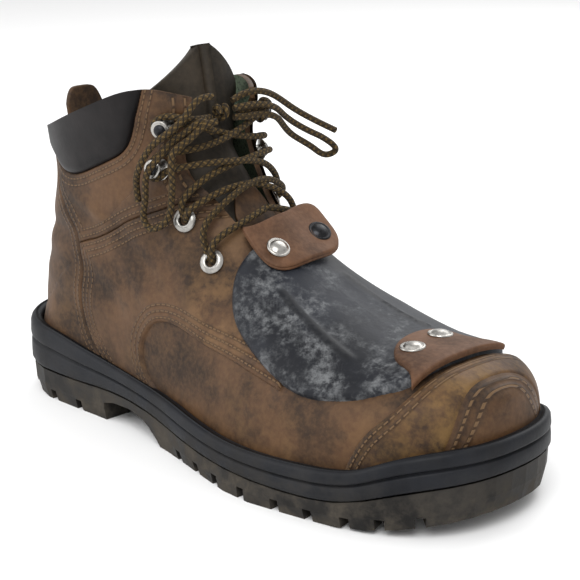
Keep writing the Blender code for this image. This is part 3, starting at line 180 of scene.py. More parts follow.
def smooth(keys, values, at):
    """A natural cubic spline through the keyed values, read at the points."""
    keys, values = np.asarray(keys, float), np.asarray(values, float)
    count, step = len(keys), np.diff(keys)
    slope = np.diff(values) / step
    matrix, right = np.eye(count), np.zeros(count)
    for i in range(1, count - 1):
        matrix[i, i - 1 : i + 2] = step[i - 1], 2 * (step[i - 1] + step[i]), step[i]
        right[i] = 6 * (slope[i] - slope[i - 1])
    bend = np.linalg.solve(matrix, right)
    at = np.clip(np.asarray(at, float), keys[0], keys[-1])
    i = np.clip(np.searchsorted(keys, at) - 1, 0, count - 2)
    past, left, width = at - keys[i], keys[i + 1] - at, step[i]
    curve = (bend[i] * left**3 + bend[i + 1] * past**3) / (6 * width)
    low = (values[i] / width - bend[i] * width / 6) * left
    return curve + low + (values[i + 1] / width - bend[i + 1] * width / 6) * past


def column(table, key, value, at):
    """One column of a table read smoothly against another."""
    return smooth([row[key] for row in table], [row[value] for row in table], at)


def path(points, count):
    """Evenly spaced points on a smooth curve through a few points."""
    points = np.asarray(points, float)
    reach = np.r_[0, np.cumsum(np.linalg.norm(np.diff(points, axis=0), axis=1))]
    at = np.linspace(0, reach[-1], count)
    return np.stack([smooth(reach, points[:, k], at) for k in range(points.shape[1])], -1)


def fraction(along):
    """A distance from the heel as a share of the sole."""
    return np.asarray(along, float) / SOLE_LENGTH


def toe_rounding(along):
    """0 behind the toe's rounding, 1 at the tip."""
    start, tip = 0.775 * SOLE_LENGTH, SOLE_LENGTH - TOE_SETBACK
    return np.clip((along - start) / (tip - start), 0, 1)


# %% The sole's outline and heights


def half_width(along):
    """Half the width of the feather edge, rounded to nothing at both ends."""
    stop = 0.125 * SOLE_LENGTH
    heel = np.clip((stop - along) / (stop - HEEL_SETBACK), 0, 1)
    width = BALL_WIDTH * column(OUTLINE, 0, 1, fraction(along))
    toe = (1 - toe_rounding(along) ** 2.35) ** (1 / 2.35)
    return width * toe * (1 - heel**2.15) ** (1 / 2.15)


def swing(along):
    """How far the middle of the sole lies to the inner side."""
    return BALL_WIDTH * column(OUTLINE, 0, 2, fraction(along))


def rim_height(along):
    """The height of the midsole's rim."""
    return RIM_HEIGHT * column(RIM_LINE, 0, 1, fraction(along))


def joint_height(along):
    """The height of the line between midsole and outsole."""
    return RIM_HEIGHT * column(JOINT_LINE, 0, 1, fraction(along))


# %% Sections of the last


def last_section(station):
    """Base, ridge and widths of the last's section at each station."""
    keys = [row[0] for row in STATIONS]
    read = lambda values: smooth(keys, values, station)
    tip = SOLE_LENGTH - TOE_SETBACK
    base = np.minimum(SOLE_LENGTH * read([row[1] for row in STATIONS]), tip)
    ridge = np.minimum(SOLE_LENGTH * read([row[2] for row in STATIONS]), tip - GAP)
    ridge_up = read([row[3] * row[4] for row in STATIONS])
    ridge_up = TIP_HEIGHT + (ridge_up - TIP_HEIGHT) * (1 - toe_rounding(ridge + GAP) ** 2.6) ** (1 / 2.2)
    belly = BALL_WIDTH * read([row[5] for row in STATIONS])
    belly = belly * (1 - toe_rounding(base) ** 2.35) ** (1 / 2.35)
    on_sole = station < HEEL_STATION
    base_half = np.where(on_sole, half_width(base), 0.0)
    back = SHAFT_HEIGHT * column(BACK_SEAM, 0, 1, np.maximum(station, HEEL_STATION))
    base_up = np.where(on_sole, rim_height(base) - FEATHER_DEPTH, back)
    fade = np.clip((HEEL_STATION - station) / 2, 0, 1)
    return {
        "base": base, "base_up": base_up, "base_half": base_half, "base_swing": swing(base) * fade,
        "ridge": ridge, "ridge_up": ridge_up, "belly": np.maximum(belly, base_half),
        "swing": BALL_WIDTH * read([row[6] for row in STATIONS]),
        "belly_at": read([row[7] for row in STATIONS]), "round": read([row[8] for row in STATIONS]),
    }


# %% Points and directions on the last


def last_point(station, height, side):
    """A point on the last: one superellipse below the belly, another above."""
    station, height = np.broadcast_arrays(np.asarray(station, float), np.asarray(height, float))
    s = last_section(station)
    ratio = np.clip(s["base_half"] / np.maximum(s["belly"], 1e-6), 0, 1)
    above = np.clip((height - s["belly_at"]) / (1 - s["belly_at"]), 0, 1)
    below = np.clip((s["belly_at"] - height) / s["belly_at"], 0, 1)
    upper = (1 - above ** s["round"]) ** (1 / s["round"])
    lower = (1 - (1 - ratio**LOWER_ROUNDNESS) * below**LOWER_ROUNDNESS) ** (1 / LOWER_ROUNDNESS)
    width = s["belly"] * np.where(height >= s["belly_at"], upper, lower)
    middle = s["base_swing"] + (s["swing"] - s["base_swing"]) * height
    along = s["base"] + (s["ridge"] - s["base"]) * height
    up = s["base_up"] + (s["ridge_up"] - s["base_up"]) * height
    return np.stack([along, middle + side * width, up], -1)


def last_normal(station, height, side):
    """The outward direction, from small steps along the last both ways."""
    step_s, step_h = 0.02, 0.004
    station, height = np.broadcast_arrays(np.asarray(station, float), np.asarray(height, float))
    s0, s1 = np.maximum(station - step_s, 0.0), station + step_s
    h0, h1 = np.maximum(height - step_h, 0.0), np.minimum(height + step_h, 1.0)
    d_station = last_point(s1, height, side) - last_point(s0, height, side)
    d_height = last_point(station, h1, side) - last_point(station, h0, side)
    normal = np.asarray(side)[..., None] * np.cross(d_station, d_height)
    closed = (height > 0.9999) | ((height < 1e-4) & (station >= HEEL_STATION))
    normal[..., 1] = np.where(closed, 0.0, normal[..., 1])
    normal = np.where((station < 1e-4)[..., None], np.array([1.0, 0.0, 0.0]), normal)
    return normal / np.maximum(np.linalg.norm(normal, axis=-1, keepdims=True), 1e-12)


def skin_point(station, height, side, lift=0.0):
    """A point that stands off the last by a lift, measured square to it."""
    lift = np.asarray(lift, float)
    return last_point(station, height, side) + last_normal(station, height, side) * lift[..., None]


def edge_height(station, half):
    """The height on a section where it is this half width wide, near the ridge."""
    s = last_section(np.asarray(station, float))
    share = np.clip(half / s["belly"], 0, 1)
    return s["belly_at"] + (1 - s["belly_at"]) * (1 - share ** s["round"]) ** (1 / s["round"])


def throat_half(station):
    """Half the throat's width at a station, nothing in front of the throat."""
    return ANKLE_WIDTH * column(THROAT, 0, 1, station) * (np.asarray(station) > 6.85)


# %% [markdown]
# One master grid covers the whole last: rows are stations, columns run from the
# lateral throat edge down to the base and up again on the medial side. A panel is
# that grid at its own lift. Where it ends it dives under its neighbour, so its
# edge is as smooth as the seam that cuts it.

# %% The master grid
ROWS, HALF = 430, 150


def top_station(share, side):
    """The station where each column meets the shaft's top line."""
    t = np.linspace(15.0, 22.0, 281)[:, None]
    h = share[None] * edge_height(t, throat_half(t))
    p = last_point(t, h, side)
    line = SHAFT_HEIGHT * column(TOP_LINE, 0, 1, fraction(p[..., 0]))
    over = p[..., 2] - line
    first = np.argmax(over > 0, axis=0)
    first = np.where(over.max(0) > 0, np.maximum(first, 1), len(t) - 1)
    cols = np.arange(len(share))
    a, b = over[first - 1, cols], over[first, cols]
    return t[first - 1, 0] + (t[first, 0] - t[first - 1, 0]) * np.clip(
        -a / np.where(b - a == 0, 1, b - a), 0, 1,
    )


def master_grid(side):
    """Stations, heights and the last's points and normals for one side."""
    share = np.linspace(0, 1, HALF)
    share = share + 0.10 * np.sin(2 * math.pi * share) / (2 * math.pi)
    top = top_station(share, side)
    fine = np.linspace(0, 22, 1500)
    spread = np.linalg.norm(np.gradient(last_point(fine, 0.78, side), axis=0), axis=1)
    low = np.linalg.norm(np.gradient(last_point(fine, 0.05, side), axis=0), axis=1)
    reach = np.cumsum(np.maximum(spread, low * 0.7) + 2e-5)
    v = np.linspace(0, 1, ROWS)[:, None]
    stop = np.interp(top, fine, reach)[None]
    t = np.interp(reach[0] + (stop - reach[0]) * v, reach, fine)
    h = share[None] * np.where(t > 6.85, edge_height(t, throat_half(t)), 1.0)
    side = np.full(t.shape, float(side))
    return t, h, side, last_point(t, h, side), last_normal(t, h, side)


lateral, medial = master_grid(-1), master_grid(1)
T, H, SIDE, BASE, NORMAL = [np.concatenate([a[:, ::-1], b], axis=1) for a, b in zip(lateral, medial)]
print("master grid", T.shape)


# %% Distances to the seams


def seam_line(seam, count=160):
    """A seam's shares as evenly spaced points in metres."""
    return path(np.asarray(seam) * (SOLE_LENGTH, SHAFT_HEIGHT), count)


def seam_distance(points, line):
    """Signed distance in the side view to a line, positive on its left, and how
    far along the line the nearest point lies."""
    a, b = line[:-1], line[1:]
    step = b - a
    size = np.linalg.norm(step, axis=1)
    reach = np.r_[0, np.cumsum(size)[:-1]]
    flat = points[..., (0, 2)].reshape(-1, 2)
    best = np.full(len(flat), 1e9)
    signed, where = np.zeros(len(flat)), np.zeros(len(flat))
    for k in range(len(a)):
        past = flat - a[k]
        share = past @ step[k] / size[k] ** 2
        share = np.clip(share, -9 if k == 0 else 0, 9 if k == len(a) - 1 else 1)
        gap = past - share[:, None] * step[k]
        far = np.einsum("ij,ij->i", gap, gap)
        near = far < best
        best = np.where(near, far, best)
        turn = step[k][0] * past[:, 1] - step[k][1] * past[:, 0]
        signed = np.where(near, np.sqrt(far) * np.sign(turn), signed)
        where = np.where(near, reach[k] + share * size[k], where)
    return signed.reshape(points.shape[:-1]), where.reshape(points.shape[:-1])


SEAMS = {name: seam_distance(BASE, seam_line(seam)) for name, seam in (
    ("counter", COUNTER_SEAM), ("shaft", SHAFT_SEAM), ("collar", COLLAR_SEAM), ("saddle", SADDLE_SEAM),
    ("guard", GUARD_EDGE), ("band", BAND_SEAM), ("cap", CAP_SEAM))}
for name, (signed, where) in SEAMS.items():
    print("seam", name, round(float(signed.min()), 3), round(float(signed.max()), 3))

# %% [markdown]
# Helpers that turn whole arrays into meshes and give each vertex the numbers its
# material reads: the distance to the nearest seam and the way along it.

# %% Mesh helpers


def make_mesh(name, points, faces, finish, facts=None, body="root"):
    """A mesh from points and faces; points that coincide are merged."""
    points = np.asarray(points, float).reshape(-1, 3) - ORIGIN
    used = np.unique(faces)
    renumber = np.full(len(points), -1)
    renumber[used] = np.arange(len(used))
    points, faces = points[used], renumber[faces]
    facts = {key: np.asarray(value, float).reshape(-1)[used] for key, value in (facts or {}).items()}
    _, first, same = np.unique(
        np.round(points / 2e-6).astype(np.int64), axis=0, return_index=True, return_inverse=True,
    )
    same = same.reshape(-1)
    points, faces = points[first], same[faces]
    good = np.all(faces != np.roll(faces, 1, axis=1), axis=1)
    short = ~good
    mesh = bpy.data.meshes.new(name)
    listed = faces[good].tolist() + [list(dict.fromkeys(f)) for f in faces[short].tolist()]
    listed = [f for f in listed if len(f) > 2]
    mesh.from_pydata(points.tolist(), [], listed)
    for key, value in facts.items():
        layer = mesh.attributes.new(key, "FLOAT", "POINT")
        layer.data.foreach_set("value", value[first].astype(np.float32))
    mesh.materials.append(finish)
    mesh.shade_smooth()
    mesh.update()
    made = bpy.data.objects.new(name, mesh)
    bpy.context.scene.collection.objects.link(made)
    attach(made, body)
    return made


def grid_faces(rows, columns, keep=None, start=0, flip=False):
    """Quads of a grid as rows of four point numbers."""
    number = np.arange(rows * columns).reshape(rows, columns) + start
    quads = np.stack([number[:-1, :-1], number[:-1, 1:], number[1:, 1:], number[1:, :-1]], -1)
    if flip:
        quads = quads[..., ::-1]
    return quads[keep] if keep is not None else quads.reshape(-1, 4)




# %% Panels as patches of the grid


OPEN_COLUMN = HALF - 1


def panel_faces(mask, flip=False, start=0):
    """Faces of the master grid where a panel is, leaving the open underside."""
    keep = mask[:-1, :-1] | mask[1:, 1:] | mask[:-1, 1:] | mask[1:, :-1]
    below = (T[:-1] < HEEL_STATION) | (T[1:] < HEEL_STATION)
    keep[:, OPEN_COLUMN] &= ~below[:, OPEN_COLUMN]
    return grid_faces(*T.shape, keep=keep, flip=flip, start=start)


def rise(distance, width):
    """A rounded step from 0 to 1 over a width, for a panel's edge."""
    x = np.clip(distance / width, 0, 1)
    return np.sqrt(1 - (1 - x) ** 2)


def panel(name, inside, lift, finish, facts=None, edge=0.0011, dive=0.0009):
    """A panel lies at its lift where the distance inside is positive, rounds off
    at the edge and dives below the surface that carries it."""
    up = np.where(
        inside > 0, -0.0002 + (lift + 0.0002) * rise(inside, edge), np.maximum(inside * 1.5, -dive),
    )
    points = BASE + NORMAL * up[..., None]
    return make_mesh(name, points, panel_faces(inside > -0.002), finish, facts)


# %% [markdown]
# Cords are tubes with a number round them and one along them, which the braid
# reads. Metal parts are turned, as on a lathe, from a short profile.

# %% Tubes and turned pieces


def tube(name, line, radius, finish, sides=12):
    """A round tube along a line: circles square to the line, turned so that they
    twist as little as possible, with u round the tube and v its length."""
    line = np.asarray(line, float)
    step = np.gradient(line, axis=0)
    step /= np.linalg.norm(step, axis=1, keepdims=True)
    first = np.cross(step[0], [0, 0, 1.0])
    across = [first / np.linalg.norm(first)]
    for k in range(1, len(line)):
        turned = across[-1] - step[k] * (across[-1] @ step[k])
        across.append(turned / np.linalg.norm(turned))
    across = np.array(across)
    other = np.cross(step, across)
    turn = np.linspace(0, 2 * math.pi, sides + 1)
    size = np.broadcast_to(np.asarray(radius, float), (len(line),))[:, None, None]
    ring = across[:, None] * np.cos(turn)[None, :, None] + other[:, None] * np.sin(turn)[None, :, None]
    points = line[:, None] + ring * size
    reach = np.r_[0, np.cumsum(np.linalg.norm(np.diff(line, axis=0), axis=1))]
    around = np.broadcast_to(turn[None] / (2 * math.pi), points.shape[:2])
    length = np.broadcast_to(reach[:, None], points.shape[:2])
    ends = np.vstack([line[:1], line[-1:]])
    flat = np.vstack([points.reshape(-1, 3), ends])
    number = np.arange(len(line) * (sides + 1)).reshape(len(line), sides + 1)
    caps = []
    for k in range(sides):
        caps.append([number[0, k + 1], number[0, k], len(flat) - 2, len(flat) - 2])
        caps.append([number[-1, k], number[-1, k + 1], len(flat) - 1, len(flat) - 1])
    faces = np.vstack([grid_faces(len(line), sides + 1, flip=True), np.array(caps)])
    values = {
        "cord_u": np.r_[around.ravel(), 0, 0],
        "cord_v": np.r_[length.ravel(), 0, reach[-1]],
    }
    return make_mesh(name, flat, faces, finish, values)


def turned(name, profile, centre, facing, finish, steps=40):
    """A profile of (radius, height) turned about its axis and set in place."""
    profile = np.asarray(profile, float)
    angle = np.linspace(0, 2 * math.pi, steps + 1)
    facing = np.asarray(facing, float) / np.linalg.norm(facing)
    side = np.cross(facing, [0.0, 0.0, 1.0] if abs(facing[2]) < 0.9 else [1.0, 0.0, 0.0])
    side /= np.linalg.norm(side)
    other = np.cross(facing, side)
    ring = side[None, None] * np.cos(angle)[None, :, None] + other[None, None] * np.sin(angle)[None, :, None]
    out, up = profile[:, 0][:, None, None], profile[:, 1][:, None, None]
    points = np.asarray(centre)[None, None] + ring * out + facing * up
    return make_mesh(name, points, grid_faces(len(profile), steps + 1, flip=True), finish)


# %% [markdown]
# Materials. Each is a Principled surface whose colour, bump and roughness come
# from noise in object coordinates and from the numbers stored on the vertices.

# %% Material helpers


class Finish:
    """A small wrapper that keeps node code short."""

    def __init__(self, name, roughness=0.6, metallic=0.0):
        """A new material with its shader and its object coordinates."""
        self.made = bpy.data.materials.new(name)
        self.made.use_nodes = True
        self.tree = self.made.node_tree
        self.shader = self.tree.nodes["Principled BSDF"]
        self.shader.inputs["Roughness"].default_value = roughness
        self.shader.inputs["Metallic"].default_value = metallic
        self.where = self.tree.nodes.new("ShaderNodeTexCoord").outputs["Object"]

    def link(self, a, b):
        """Joins an output to an input."""
        self.tree.links.new(a, b)

    def math(self, operation, a, b=0.5, c=0.0):
        """One sum on numbers or outputs."""
        node = self.tree.nodes.new("ShaderNodeMath")
        node.operation = operation
        for socket, value in zip(node.inputs, (a, b, c)):
            if isinstance(value, (int, float)):
                socket.default_value = value
            else:
                self.link(value, socket)
        return node.outputs[0]

    def noise(self, scale, detail=4.0, rough=0.55, stretch=None, seed=0.0):
        """Cloudy values from 0 to 1; the seed moves the cloud."""
        node = self.tree.nodes.new("ShaderNodeTexNoise")
        place = self.tree.nodes.new("ShaderNodeMapping")
        place.inputs["Location"].default_value = (seed, seed * 0.7, seed * 1.3)
        place.inputs["Scale"].default_value = stretch or (1, 1, 1)
        self.link(self.where, place.inputs["Vector"])
        self.link(place.outputs[0], node.inputs["Vector"])
        node.inputs["Scale"].default_value = scale
        node.inputs["Detail"].default_value = detail
        node.inputs["Roughness"].default_value = rough
        return node.outputs["Fac"]

    def cells(self, scale):
        """The distance to the nearest of many scattered points."""
        node = self.tree.nodes.new("ShaderNodeTexVoronoi")
        self.link(self.where, node.inputs["Vector"])
        node.inputs["Scale"].default_value = scale
        return node.outputs["Distance"]

    def fact(self, name):
        """A number that is stored on the vertices."""
        node = self.tree.nodes.new("ShaderNodeAttribute")
        node.attribute_name = name
        return node.outputs["Fac"]

    def step(self, value, low, high, start=0.0, stop=1.0):
        """A soft step from start to stop between two values."""
        node = self.tree.nodes.new("ShaderNodeMapRange")
        node.interpolation_type = "SMOOTHSTEP"
        self.link(value, node.inputs["Value"])
        for key, size in (("From Min", low), ("From Max", high), ("To Min", start), ("To Max", stop)):
            node.inputs[key].default_value = size
        return node.outputs[0]

    def mix(self, share, a, b):
        """Colour a turning into colour b as the share grows."""
        node = self.tree.nodes.new("ShaderNodeMix")
        node.data_type = "RGBA"
        for key, value in ((0, share), (6, a), (7, b)):
            if isinstance(value, (tuple, list)):
                node.inputs[key].default_value = (*value, 1.0)
            elif isinstance(value, (int, float)):
                node.inputs[key].default_value = value
            else:
                self.link(value, node.inputs[key])
        return node.outputs[2]

    def axis(self, number):
        """One coordinate of the object: 0 along, 1 across, 2 up."""
        node = self.tree.nodes.new("ShaderNodeSeparateXYZ")
        self.link(self.where, node.inputs[0])
        return node.outputs[number]

    def bump(self, height, strength, distance, below=None):
        """A normal tilted by a height, on top of another normal."""
        node = self.tree.nodes.new("ShaderNodeBump")
        node.inputs["Strength"].default_value = strength
        node.inputs["Distance"].default_value = distance
        self.link(height, node.inputs["Height"])
        if below is not None:
            self.link(below, node.inputs["Normal"])
        return node.outputs[0]

    def finish(self, colour, roughness=None, normal=None, coat=0.0, sheen=0.0, gloss=0.28):
        """Links what was made to the shader and gives the material."""
        if isinstance(colour, tuple):
            self.shader.inputs["Base Color"].default_value = (*colour, 1.0)
        else:
            self.link(colour, self.shader.inputs["Base Color"])
        if roughness is not None:
            self.link(roughness, self.shader.inputs["Roughness"])
        if normal is not None:
            self.link(normal, self.shader.inputs["Normal"])
        self.shader.inputs["Specular IOR Level"].default_value = gloss
        self.shader.inputs["Coat Weight"].default_value = coat
        self.shader.inputs["Sheen Weight"].default_value = sheen
        return self.made


# %% [markdown]
# Stitches could be thousands of small meshes. A mask drawn from the distance to
# the seam and the way along it costs nothing and follows every curve.

# %% Stitches and leather


def stitches(f, rows, pitch=0.0027, wide=0.00040):
    """A mask of stitches in rows at set distances from a seam: dashes along it,
    and how deep the thread sits."""
    along, away = f.fact("seam_along"), f.fact("seam_away")
    mask = None
    for row in rows:
        band = f.step(f.math("ABSOLUTE", f.math("SUBTRACT", away, row)), wide * 0.55, wide, 1.0, 0.0)
        dash = f.math("FRACT", f.math("DIVIDE", f.math("ADD", along, row * 0.7), pitch))
        dash = f.step(f.math("ABSOLUTE", f.math("SUBTRACT", dash, 0.5)), 0.30, 0.40, 1.0, 0.0)
        stitch = f.math("MULTIPLY", band, dash)
        mask = stitch if mask is None else f.math("MAXIMUM", mask, stitch)
    return mask


def trench(f, rows, wide=0.0011):
    """A soft groove under each stitch row, for the bump; the same mask paints shade into the leather's
    colour there.
    """
    away = f.fact("seam_away")
    mask = None
    for row in rows:
        band = f.step(f.math("ABSOLUTE", f.math("SUBTRACT", away, row)), 0.0, wide, 1.0, 0.0)
        mask = band if mask is None else f.math("MAXIMUM", mask, band)
    return mask


def leather(name, dark, mid, light, rows=(), thread=(0.115, 0.066, 0.030), seed=0.0, wear=0.5):
    """Oiled leather: cloudy tones, pulled-up pale patches, dark blots, a fine
    nap, and stitch rows where the panel has a seam, with painted shade darkening
    the groove under each row."""
    f = Finish(name, 0.62)
    cloud = f.noise(28, 5, 0.6, seed=seed)
    patch = f.noise(11, 3, 0.5, seed=seed + 3.1)
    fine = f.noise(420, 3, 0.6, seed=seed + 1.7)
    colour = f.mix(f.step(cloud, 0.36, 0.66), dark, mid)
    pale = f.math(
        "MULTIPLY", f.step(patch, 0.50, 0.68),
        f.step(f.noise(70, 5, 0.65, seed=seed + 6.0), 0.42, 0.62),
    )
    colour = f.mix(f.math("MULTIPLY", pale, wear), colour, light)
    colour = f.mix(f.step(f.noise(60, 4, 0.6, seed=seed + 9.0), 0.60, 0.72, 0.0, 0.55), colour, dark)
    colour = f.mix(f.math("MULTIPLY", f.step(fine, 0.35, 0.7), 0.22), colour, light)
    grain = f.math(
        "ADD", f.math("MULTIPLY", fine, 0.5),
        f.math("MULTIPLY", f.noise(110, 5, 0.6, seed=seed + 2.2), 0.8),
    )
    normal = f.bump(grain, 0.35, 0.0006)
    if rows:
        furrow_and_shade, thread_mask = trench(f, rows), stitches(f, rows)
        normal = f.bump(f.math("MULTIPLY", furrow_and_shade, -1.0), 0.6, 0.0007, normal)
        normal = f.bump(thread_mask, 0.8, 0.0007, normal)
        # painted shade: the leather's colour is darkened in the groove under each stitch row
        colour = f.mix(f.math("MULTIPLY", furrow_and_shade, 0.45), colour, tuple(c * 0.45 for c in dark))
        colour = f.mix(thread_mask, colour, thread)
    rough = f.step(cloud, 0.3, 0.7, 0.72, 0.55)
    return f.finish(colour, rough, normal, sheen=0.0)


# %% Leather finishes
BROWN_DARK, BROWN_MID, BROWN_LIGHT = (0.016, 0.0080, 0.0040), (0.074, 0.034, 0.0125), (0.145, 0.078, 0.031)
upper_leather = leather("oiled leather base", BROWN_DARK, BROWN_MID, BROWN_LIGHT)
quarter_leather = leather(
    "oiled leather quarter", BROWN_DARK, BROWN_MID, BROWN_LIGHT, (0.0022, 0.0052, 0.0082), seed=2.0,
    wear=0.6,
)
shaft_leather = leather(
    "oiled leather shaft", BROWN_DARK, BROWN_MID, BROWN_LIGHT, (0.0024, 0.0056), seed=4.0, wear=0.6,
)
counter_leather = leather(
    "oiled leather counter", BROWN_DARK, BROWN_MID, BROWN_LIGHT, (0.0024, 0.0054), seed=5.0, wear=0.4,
)
band_leather = leather(
    "oiled leather toe band", BROWN_DARK, BROWN_MID, (0.19, 0.105, 0.030), (0.0022, 0.0050), seed=7.0,
    wear=0.9,
)
cap_leather = leather(
    "oiled leather toe cap", BROWN_DARK, BROWN_MID, BROWN_LIGHT, (0.0012, 0.0036), seed=8.0, wear=0.6,
)
tan_leather = leather(
    "tan strap leather", (0.045, 0.019, 0.008), (0.110, 0.047, 0.019), (0.18, 0.095, 0.048), seed=11.0,
    wear=0.5,
)
tab_leather = leather(
    "tan tab leather", (0.045, 0.019, 0.008), (0.110, 0.047, 0.019), (0.18, 0.095, 0.048), seed=12.0,
    wear=0.5,
)
olive_leather = leather(
    "tongue leather", (0.010, 0.0075, 0.0045), (0.028, 0.020, 0.012), (0.055, 0.040, 0.025), seed=13.0,
    wear=0.4,
)


# %% Rubber, metal, braid and mesh


def collar_material():
    """Smooth dark leather with a soft gloss."""
    f = Finish("collar leather", 0.42)
    cloud = f.noise(35, 5, 0.6)
    colour = f.mix(f.step(cloud, 0.35, 0.7), (0.0035, 0.0028, 0.0030), (0.010, 0.0078, 0.0078))
    normal = f.bump(f.noise(260, 4, 0.6), 0.18, 0.0004)
    return f.finish(colour, f.step(cloud, 0.3, 0.7, 0.50, 0.38), normal, gloss=0.15)


def guard_material():
    """Moulded slate-black rubber with pale dust on it."""
    f = Finish("guard rubber", 0.62)
    cloud = f.noise(20, 5, 0.6)
    dust = f.math(
        "MULTIPLY", f.step(f.noise(34, 7, 0.72, seed=3.0), 0.44, 0.62),
        f.step(f.noise(260, 3, 0.7), 0.35, 0.65),
    )
    colour = f.mix(f.step(cloud, 0.35, 0.65), (0.0060, 0.0068, 0.0095), (0.016, 0.018, 0.024))
    colour = f.mix(f.math("MULTIPLY", dust, 0.75), colour, (0.17, 0.175, 0.18))
    dark = f.step(f.fact("rib"), 0.2, 0.9, 0.0, 0.7)
    colour = f.mix(dark, colour, (0.004, 0.0045, 0.006))
    hatch = f.math("SINE", f.math("MULTIPLY", f.math("ADD", f.axis(0), f.axis(1)), 3400.0))
    hatch = f.math("MULTIPLY", hatch, f.fact("hatch"))
    normal = f.bump(f.noise(320, 4, 0.6), 0.22, 0.0005)
    normal = f.bump(hatch, 0.5, 0.0004, normal)
    return f.finish(colour, f.step(dust, 0.0, 0.6, 0.52, 0.85), normal, gloss=0.2)


def sole_material(name, dark, light, dusty, amount):
    """Moulded rubber, cleaner above and dusty towards the ground."""
    f = Finish(name, 0.6)
    low = f.step(f.axis(2), 0.004, 0.030, 1.0, 0.15)
    dust = f.math("MULTIPLY", f.step(f.noise(48, 6, 0.7, seed=5.0), 0.40, 0.64), low)
    colour = f.mix(f.step(f.noise(26, 4, 0.6), 0.35, 0.65), dark, light)
    colour = f.mix(f.math("MULTIPLY", dust, amount), colour, dusty)
    normal = f.bump(f.noise(380, 4, 0.6), 0.25, 0.0005)
    return f.finish(colour, f.step(dust, 0.0, 0.8, 0.50, 0.88), normal, gloss=0.15)


def metal_material(name, colour, roughness):
    """Plated metal, dulled in patches."""
    f = Finish(name, roughness, 1.0)
    rough = f.step(f.noise(300, 4, 0.6), 0.3, 0.7, roughness * 0.8, roughness * 1.4)
    tint = f.mix(f.step(f.noise(160, 4, 0.7), 0.45, 0.7), colour, tuple(c * 0.45 for c in colour))
    return f.finish(tint, rough, f.bump(f.noise(500, 3, 0.6), 0.15, 0.0002))


def lace_material():
    """A round braid in two tones: strands wind both ways round the cord."""
    f = Finish("lace braid", 0.8)
    u, v = f.fact("cord_u"), f.math("DIVIDE", f.fact("cord_v"), 0.0034)
    one = f.math("FRACT", f.math("ADD", f.math("MULTIPLY", u, 3.0), v))
    two = f.math("FRACT", f.math("SUBTRACT", f.math("MULTIPLY", u, 3.0), v))
    dark = f.step(f.math("ABSOLUTE", f.math("SUBTRACT", one, 0.5)), 0.10, 0.22, 1.0, 0.0)
    gold = f.step(f.math("ABSOLUTE", f.math("SUBTRACT", two, 0.5)), 0.10, 0.24, 1.0, 0.0)
    colour = f.mix(gold, (0.048, 0.030, 0.010), (0.125, 0.077, 0.024))
    colour = f.mix(dark, colour, (0.014, 0.010, 0.006))
    rib_a = f.math(
        "SINE",
        f.math("MULTIPLY", f.math("ADD", f.math("MULTIPLY", u, 6.0), f.math("MULTIPLY", v, 3.0)), 6.2832),
    )
    rib_b = f.math(
        "SINE",
        f.math(
            "MULTIPLY", f.math("SUBTRACT", f.math("MULTIPLY", u, 6.0), f.math("MULTIPLY", v, 3.0)),
            6.2832,
        ),
    )
    normal = f.bump(f.math("MULTIPLY", rib_a, rib_b), 0.8, 0.0003)
    return f.finish(colour, None, normal, sheen=0.0)


def mesh_material(name, dark, light):
    """A knitted mesh: fine round holes in a dull green cloth."""
    f = Finish(name, 0.85)
    holes = f.step(f.cells(620), 0.20, 0.45)
    return f.finish(f.mix(holes, dark, light), None, f.bump(holes, 0.6, 0.0004))


# %% The other finishes
collar_leather = collar_material()
guard_rubber = guard_material()
midsole_rubber = sole_material(
    "midsole rubber", (0.0050, 0.0056, 0.0075), (0.011, 0.012, 0.015), (0.060, 0.055, 0.048), 0.5,
)
outsole_rubber = sole_material(
    "outsole rubber", (0.0085, 0.0078, 0.0072), (0.020, 0.018, 0.016), (0.085, 0.073, 0.058), 0.7,
)
nickel = metal_material("nickel", (0.40, 0.385, 0.36), 0.30)
dark_metal = metal_material("dark metal", (0.030, 0.030, 0.032), 0.38)
lace_braid = lace_material()
lining_mesh = mesh_material("lining mesh", (0.012, 0.016, 0.010), (0.055, 0.075, 0.045))

# %% [markdown]
# The upper first: the whole last as a thin wall, open at the throat, at the top
# and underneath. Soft folds at the ankle and the vamp are placed one by one from a table.

# %% Folds


def fold(points, centre, direction, length, wide, depth):
    """A soft trough: a bell across its direction, fading at both ends."""
    centre = np.asarray(centre) * (SOLE_LENGTH, SHAFT_HEIGHT)
    way = np.array([math.cos(direction), math.sin(direction)])
    away = points[..., (0, 2)] - centre
    along, across = away @ way, away @ np.array([-way[1], way[0]])
    return depth * np.exp(-((across / wide) ** 2)) * np.exp(-((along / length) ** 4))


FOLDS = (
    # centre along, centre up, direction, length, width, depth
    (0.300, 0.500, -0.55, 0.030, 0.0060, -0.0012), (0.345, 0.560, -0.60, 0.028, 0.0050, -0.0010),
    (0.255, 0.430, -0.45, 0.026, 0.0070, -0.0009), (0.330, 0.470, -0.50, 0.030, 0.0060, 0.0008),
    (0.250, 0.610, -0.35, 0.028, 0.0060, -0.0010), (0.225, 0.660, -0.30, 0.026, 0.0050, 0.0007),
    (0.420, 0.560, -0.90, 0.024, 0.0060, -0.0009), (0.180, 0.560, 0.10, 0.020, 0.0060, -0.0008),
    (0.100, 0.560, 0.05, 0.024, 0.0050, -0.0009), (0.090, 0.460, -0.05, 0.026, 0.0060, -0.0007),
    (0.470, 0.480, -0.70, 0.026, 0.0070, 0.0008), (0.150, 0.330, -0.30, 0.030, 0.0090, -0.0007),
)
FOLD_FIELD = 1.4 * sum(fold(BASE, row[:2], *row[2:]) for row in FOLDS)
BASE = BASE + NORMAL * FOLD_FIELD[..., None]
print("folds", round(float(FOLD_FIELD.min()) * 1000, 2), round(float(FOLD_FIELD.max()) * 1000, 2), "mm")

